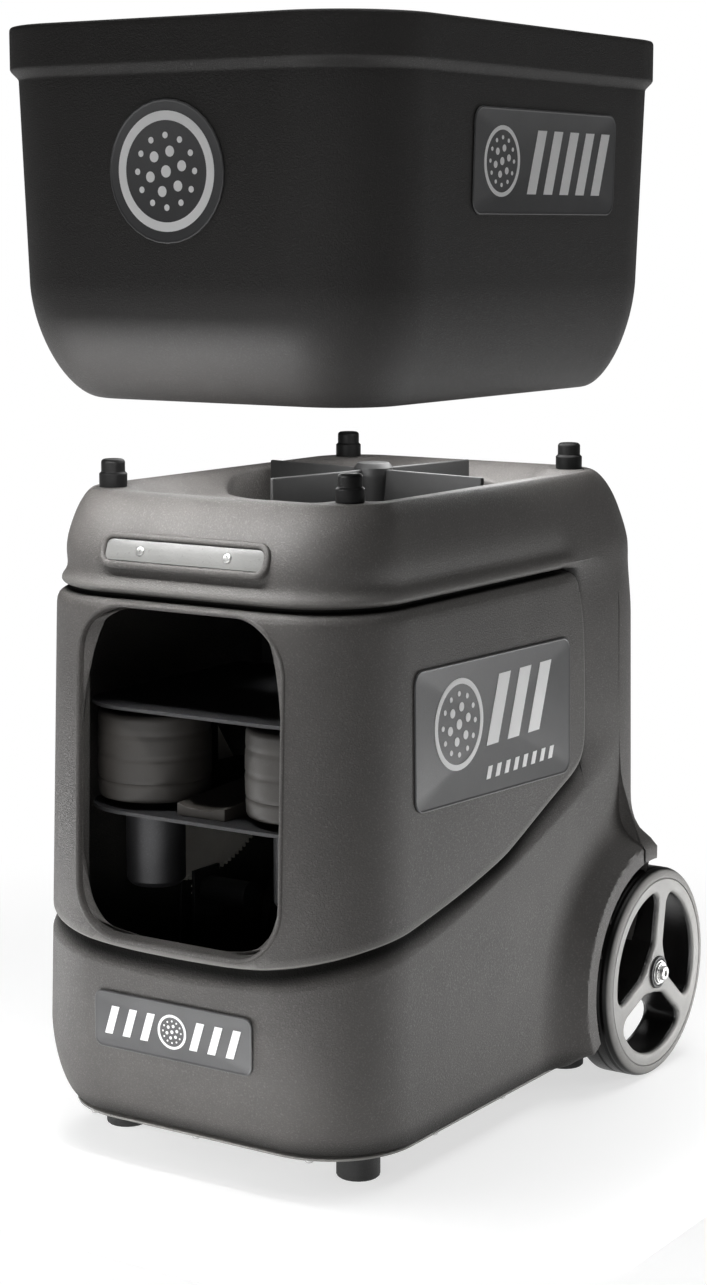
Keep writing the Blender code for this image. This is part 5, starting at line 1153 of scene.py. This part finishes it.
def pale_face(name, dark, start, end, shine):
    """A finish that keeps its colour for |x| past the end, as painted light on the lit outer face, and is dark
    and shiny short of the start, as painted shade in the tunnels and along the tread.
    """
    material = finish(name)
    tree = material.node_tree
    if tree.nodes.get("face share"):
        return material
    shader = tree.nodes["Principled BSDF"]
    split = add_node(tree, "SeparateXYZ", {0: add_node(tree, "TexCoord").outputs["Object"]})
    size = add_node(tree, "Math", {0: split.outputs["X"]}, operation="ABSOLUTE")
    share = add_node(tree, "MapRange", {"Value": size.outputs[0], "From Min": start, "From Max": end},
                     interpolation_type="SMOOTHSTEP", name="face share")
    for socket, kind, low in (("Base Color", "RGBA", dark + (1,)), ("Roughness", "FLOAT", shine)):
        mix = add_node(tree, "Mix", data_type=kind)
        before = shader.inputs[socket].links[0].from_socket
        feed(tree, mix, {"Factor": share.outputs["Result"], "A": low, "B": before})
        feed(tree, shader, {socket: mix.outputs["Result"]})
    return material


# Operators
class MACHINE_OT_body(bpy.types.Operator):
    """Moulded body with its groove, raised face, window bead, wheel arches and wells"""
    bl_idname = "machine.body"
    bl_label = "Body"

    def execute(self, context):
        piece("body_skin", body_mesh(), body_finish(), ["body_shell"], BASE, 40, False)
        return {"FINISHED"}


class MACHINE_OT_deck(bpy.types.Operator):
    """Dished deck with the rotor's bowl, and the four locating posts"""
    bl_idname = "machine.deck"
    bl_label = "Deck and posts"

    def execute(self, context):
        piece("deck", deck_mesh(), body_finish(), ["top_tray"], BASE, 50, False)
        piece("posts", posts_mesh(), finish("post"), POSTS)
        return {"FINISHED"}


class MACHINE_OT_rotor(bpy.types.Operator):
    """Feed rotor with four vanes and a capped hub"""
    bl_idname = "machine.rotor"
    bl_label = "Feed rotor"

    def execute(self, context):
        piece("rotor", rotor_mesh(), finish("black_plastic"), ["feed_rotor"], "rotor")
        return {"FINISHED"}


class MACHINE_OT_hopper(bpy.types.Operator):
    """Ball hopper with its rim band, floor, outlet and sockets"""
    bl_idname = "machine.hopper"
    bl_label = "Hopper"

    def execute(self, context):
        piece("hopper_skin", hopper_mesh(), finish("moulded_hopper"), ["hopper_shell"],
              "hopper", 40, False)
        return {"FINISHED"}


class MACHINE_OT_wheels(bpy.types.Operator):
    """Transport wheels: rims, tyres, washers and bolts"""
    bl_idname = "machine.wheels"
    bl_label = "Transport wheels"

    def execute(self, context):
        # Rims and tyres: painted light on their outer faces, painted shade on the rest, split by |x|
        rim_grey = pale_face("rim_plastic", (0.008, 0.0078, 0.0075), 0.2078, 0.2112, 0.22)
        tyre_grey = pale_face("tyre", (0.006, 0.0058, 0.0055), 0.2085, 0.2110, 0.30)
        for hand, side in HANDS:
            wheel = f"wheel_{hand}"
            piece(f"rim_{hand}", rim_mesh(side), rim_grey, [f"wheel_rim_{hand}"], wheel, 35,
                  False)
            piece(f"tyre_{hand}", tyre_mesh(side), tyre_grey, [f"wheel_tyre_{hand}"], wheel, 50)
            piece(f"washer_{hand}", washer_mesh(side), finish("black_plastic"))
            piece(f"axle_end_{hand}", axle_end_mesh(side), finish("steel"))
        piece("axle", axle_mesh(), finish("steel"), ["axle_bolt", "axle_nut"])
        return {"FINISHED"}


class MACHINE_OT_light(bpy.types.Operator):
    """Light bar on the shoulder: bezel, lens and two screws"""
    bl_idname = "machine.light"
    bl_label = "Light bar"

    def execute(self, context):
        piece("bezel", bezel_mesh(), body_finish(), ["light_bezel"])
        piece("lens", lens_mesh(), finish("lens"), ["light_lens"])
        piece("light_screws", screw_heads_mesh(light_screws(), 0.0042, 0.0018), finish("steel"))
        return {"FINISHED"}


class MACHINE_OT_screws(bpy.types.Operator):
    """Bottom cover and the screws under its edge"""
    bl_idname = "machine.screws"
    bl_label = "Bottom cover and screws"

    def execute(self, context):
        piece("bottom_cover", bottom_cover_mesh(), finish("cover_sheet"), ["base_plate"])
        piece("edge_screws", screw_heads_mesh(under_screws(), 0.0038, 0.0030), finish("steel"))
        return {"FINISHED"}


class MACHINE_OT_plates(bpy.types.Operator):
    """Badge and plates with their printed motifs"""
    bl_idname = "machine.plates"
    bl_label = "Plates and motifs"

    def execute(self, context):
        plates = [name for name in NODES if name == "front_plate" or name.rsplit("_", 1)[0] in MOTIFS]
        for node in plates + ["hopper_badge"]:
            side = dict(HANDS).get(node.split("_")[-1])
            ball, marks = MOTIFS[node.rsplit("_", 1)[0] if side else node]
            place, outline, thick = plate_place(node, (side, 0, 0) if side else (0, -1, 0))
            body, sheet = RIDES_ON[node], plate_mesh(node, outline, thick, place)
            piece(f"{node}_panel", sheet, finish("plate"), [node], body, 40)
            piece(f"{node}_print", print_mesh(node, place, ball, marks), finish("print"), (), body, 40)
        return {"FINISHED"}


class MACHINE_OT_throwers(bpy.types.Operator):
    """Throwing wheels behind the window"""
    bl_idname = "machine.throwers"
    bl_label = "Throwing wheels"

    def execute(self, context):
        for hand, side in HANDS:
            piece(f"thrower_{hand}", throw_wheel_mesh(side), finish("urethane"),
                  [f"throw_wheel_{hand}"], f"throw_{hand}", 40)
        return {"FINISHED"}


class MACHINE_OT_cad_finishes(bpy.types.Operator):
    """The rest of the parts, as copies with merged points, rounded edges and their finishes"""
    bl_idname = "machine.cad_finishes"
    bl_label = "Other parts"

    def execute(self, context):
        for name, node in NODES.items():
            if not node.hide_render:
                toothed = any(word in name for word in ("pinion", "sector", "head_frame", "turntable"))
                mesh, slot = bpy.data.meshes.new(f"{name}_fine"), SLOT_OF[name]
                face_out(node.data, mesh, 1e-6, 0.3)
                piece(f"{name}_fine", mesh, finish(SLOT_FINISHES.get(slot, slot)), [name], RIDES_ON[name],
                      32.0, False, 0.0 if toothed else 0.0005)
        return {"FINISHED"}


# Stage and camera
EYE, AZIMUTH, PITCH, LENS = (1.3047, -1.9892, 0.7999), 33.4269, -8.9676, 73.55
FLOOR_GLOW = 0.62
BEHIND = (-0.47, 0.87, 0.12)
LAMPS = {                     # place, target, size, power
    "left_near": ((-0.52, -0.42, 0.10), (-0.15, -0.25, 0.14), (0.25, 0.30), 2.2),
    "right_near": ((0.52, 0.44, 0.05), (0.18, 0.20, 0.12), (0.25, 0.22), 2.2),
    "right_rear": ((1.3, 1.5, 0.9), (0, 0, 0.40), (0.9, 1.6), 0.8),
    "front_low": ((0.15, -1.15, 0.03), (0, 0, 0.45), (1.4, 0.9), 7.5),
    "low_front": ((0.0, -0.46, 0.012), (0.0, -0.27, 0.10), (0.45, 0.08), 0.9),
    "low_right": ((0.42, -0.05, 0.012), (0.20, -0.05, 0.10), (0.40, 0.08), 0.35),
    "overhead": ((0, 0.1, 2.6), (0, 0, 0), (2.4, 2.4), 52.0),
    "gap": ((-0.06, -0.12, 0.648), (-0.06, -0.12, 0.0), (0.22, 0.14), 0.50),
    "gap_rear": ((0.06, 0.10, 0.648), (0.06, 0.10, 0.0), (0.20, 0.16), 0.9),
    "crest": ((-0.06, -0.345, 0.665), (-0.06, -0.25, 0.565), (0.32, 0.03), 1.4),
    "under_right": ((0.46, 0.05, 0.30), (0.42, 0.05, 1.00), (0.20, 0.45), 0.12),
}


def bare_tree(block):
    """A material's or world's node tree, emptied."""
    block.use_nodes = True
    block.node_tree.nodes.clear()
    return block.node_tree


def seen_by(tree, *rays):
    """1 where a ray is of either of two kinds."""
    path = add_node(tree, "LightPath").outputs
    return add_node(tree, "Math", dict(enumerate(path[ray] for ray in rays)), operation="MAXIMUM").outputs[0]


def floor_material():
    """Matt white floor whose own glow, seen by the camera and in reflections, keeps its shadow light.

    It turns to plain white with the distance from the machine, so that no horizon shows.
    """
    material = bpy.data.materials.new("floor_white")
    tree = bare_tree(material)
    seen = seen_by(tree, "Is Camera Ray", "Is Glossy Ray")
    level = add_node(tree, "Math", {0: seen, 1: FLOOR_GLOW}, operation="MULTIPLY")
    matt = add_node(tree, "BsdfDiffuse", {"Color": (0.5, 0.5, 0.5, 1)})
    near = add_node(tree, "Emission", {"Strength": level.outputs[0]})
    white = add_node(tree, "Emission", {"Strength": 1.0})
    both = add_node(tree, "AddShader", {0: matt.outputs[0], 1: near.outputs[0]})
    away = add_node(tree, "VectorMath", {0: add_node(tree, "TexCoord").outputs["Object"]}, operation="LENGTH")
    share = add_node(tree, "MapRange", {"Value": away.outputs["Value"], "From Min": 0.55, "From Max": 1.0},
                     interpolation_type="SMOOTHSTEP")
    far = add_node(tree, "Math", {0: share.outputs["Result"], 1: seen}, operation="MULTIPLY")
    mix = add_node(tree, "MixShader", {"Fac": far.outputs[0], 1: both.outputs[0], 2: white.outputs[0]})
    add_node(tree, "OutputMaterial", {"Surface": mix.outputs[0]})
    return material


def studio_world(studio):
    """World: white for the camera and through glass; for the light a dim room with a bright wall."""
    world = bpy.data.worlds.new("studio")
    tree = bare_tree(world)
    wall = add_node(tree, "VectorMath", {0: add_node(tree, "TexCoord").outputs["Generated"], 1: BEHIND},
                    operation="DOT_PRODUCT")
    lobe = add_node(tree, "MapRange", {"Value": wall.outputs["Value"], "From Min": 0.35, "From Max": 0.98},
                    interpolation_type="SMOOTHSTEP")
    level = add_node(tree, "Math", {0: lobe.outputs["Result"], 1: studio.behind, 2: studio.room},
                     operation="MULTIPLY_ADD")
    plain = add_node(tree, "Background", {"Strength": level.outputs[0]})
    white = add_node(tree, "Background", {"Color": (1, 1, 1, 1), "Strength": studio.backdrop})
    mix = add_node(tree, "MixShader", {"Fac": seen_by(tree, "Is Camera Ray", "Is Transmission Ray"),
                                       1: plain.outputs[0], 2: white.outputs[0]})
    add_node(tree, "OutputWorld", {"Surface": mix.outputs[0]})
    return world


def aimed(name, data, place, ahead_of_it):
    """Object for a lamp or the camera, at a place and turned to look along a direction."""
    obj = bpy.data.objects.new(name, data)
    bpy.context.scene.collection.objects.link(obj)
    obj.location, obj.rotation_mode = place, "QUATERNION"
    obj.rotation_quaternion = ahead_of_it.to_track_quat("-Z", "Y")
    return obj


class MACHINE_OT_stage(bpy.types.Operator):
    """White floor and backdrop, lamps and the camera"""
    bl_idname = "machine.stage"
    bl_label = "Stage"

    def execute(self, context):
        scene, studio = context.scene, context.scene.studio
        ground = Surface()
        rings = [np.insert(circle(0, 0, radius, 96), 2, 0.0, axis=1) for radius in (0.0, 0.6, 1.6, 9.0)]
        ground.facing(np.stack(rings), (0, 0, 5))
        floor = bpy.data.objects.new("floor", ground.mesh("floor", 0.0))
        scene.collection.objects.link(floor)
        floor.data.materials.append(floor_material())
        scene.world = studio_world(studio)
        for name, (place, target, size, power) in LAMPS.items():
            data = bpy.data.lights.new(name, "AREA")
            data.shape, data.energy = "RECTANGLE", power * studio.lamps
            data.size, data.size_y = size
            aimed(name, data, place, Vector(target) - Vector(place)).visible_camera = False
        data = bpy.data.cameras.new("camera")
        data.lens, data.sensor_width, data.sensor_fit = LENS, 36.0, "AUTO"
        data.clip_start, data.clip_end = 0.05, 50.0
        turn, tilt = math.radians(AZIMUTH), math.radians(PITCH)
        scene.camera = aimed("camera", data, EYE, Vector((-math.sin(turn) * math.cos(tilt),
                                                          math.cos(turn) * math.cos(tilt), math.sin(tilt))))
        scene.view_settings.view_transform = "Standard"
        return {"FINISHED"}


PARTS = (MACHINE_OT_body, MACHINE_OT_deck, MACHINE_OT_rotor, MACHINE_OT_hopper, MACHINE_OT_wheels,
         MACHINE_OT_light, MACHINE_OT_screws, MACHINE_OT_plates, MACHINE_OT_throwers,
         MACHINE_OT_cad_finishes, MACHINE_OT_stage)


class MACHINE_PT_panel(bpy.types.Panel):
    """Sizes, colours and pieces of the pickleball machine"""
    bl_idname = "MACHINE_PT_panel"
    bl_label = "Pickleball machine"
    bl_space_type = "VIEW_3D"
    bl_region_type = "UI"
    bl_category = "Machine"

    def draw(self, context):
        for group in (context.scene.body_look, context.scene.colours, context.scene.studio):
            for name in group.bl_rna.properties.keys():
                if name not in ("rna_type", "name"):
                    self.layout.prop(group, name)
        for part in PARTS:
            self.layout.operator(part.bl_idname)


CLASSES = (BodyLook, Colours, Studio) + PARTS + (MACHINE_PT_panel,)


def register():
    """Register the classes and their settings."""
    for made in CLASSES:
        bpy.utils.register_class(made)
    bpy.types.Scene.body_look = PointerProperty(type=BodyLook)
    bpy.types.Scene.colours = PointerProperty(type=Colours)
    bpy.types.Scene.studio = PointerProperty(type=Studio)


def unregister():
    """Take the classes and their settings away."""
    del bpy.types.Scene.body_look, bpy.types.Scene.colours, bpy.types.Scene.studio
    for made in reversed(CLASSES):
        bpy.utils.unregister_class(made)


def main():
    """Make every piece and the stage."""
    register()
    for part in PARTS:
        getattr(bpy.ops.machine, part.bl_idname.split(".")[1])()


if __name__ == "__main__":
    main()
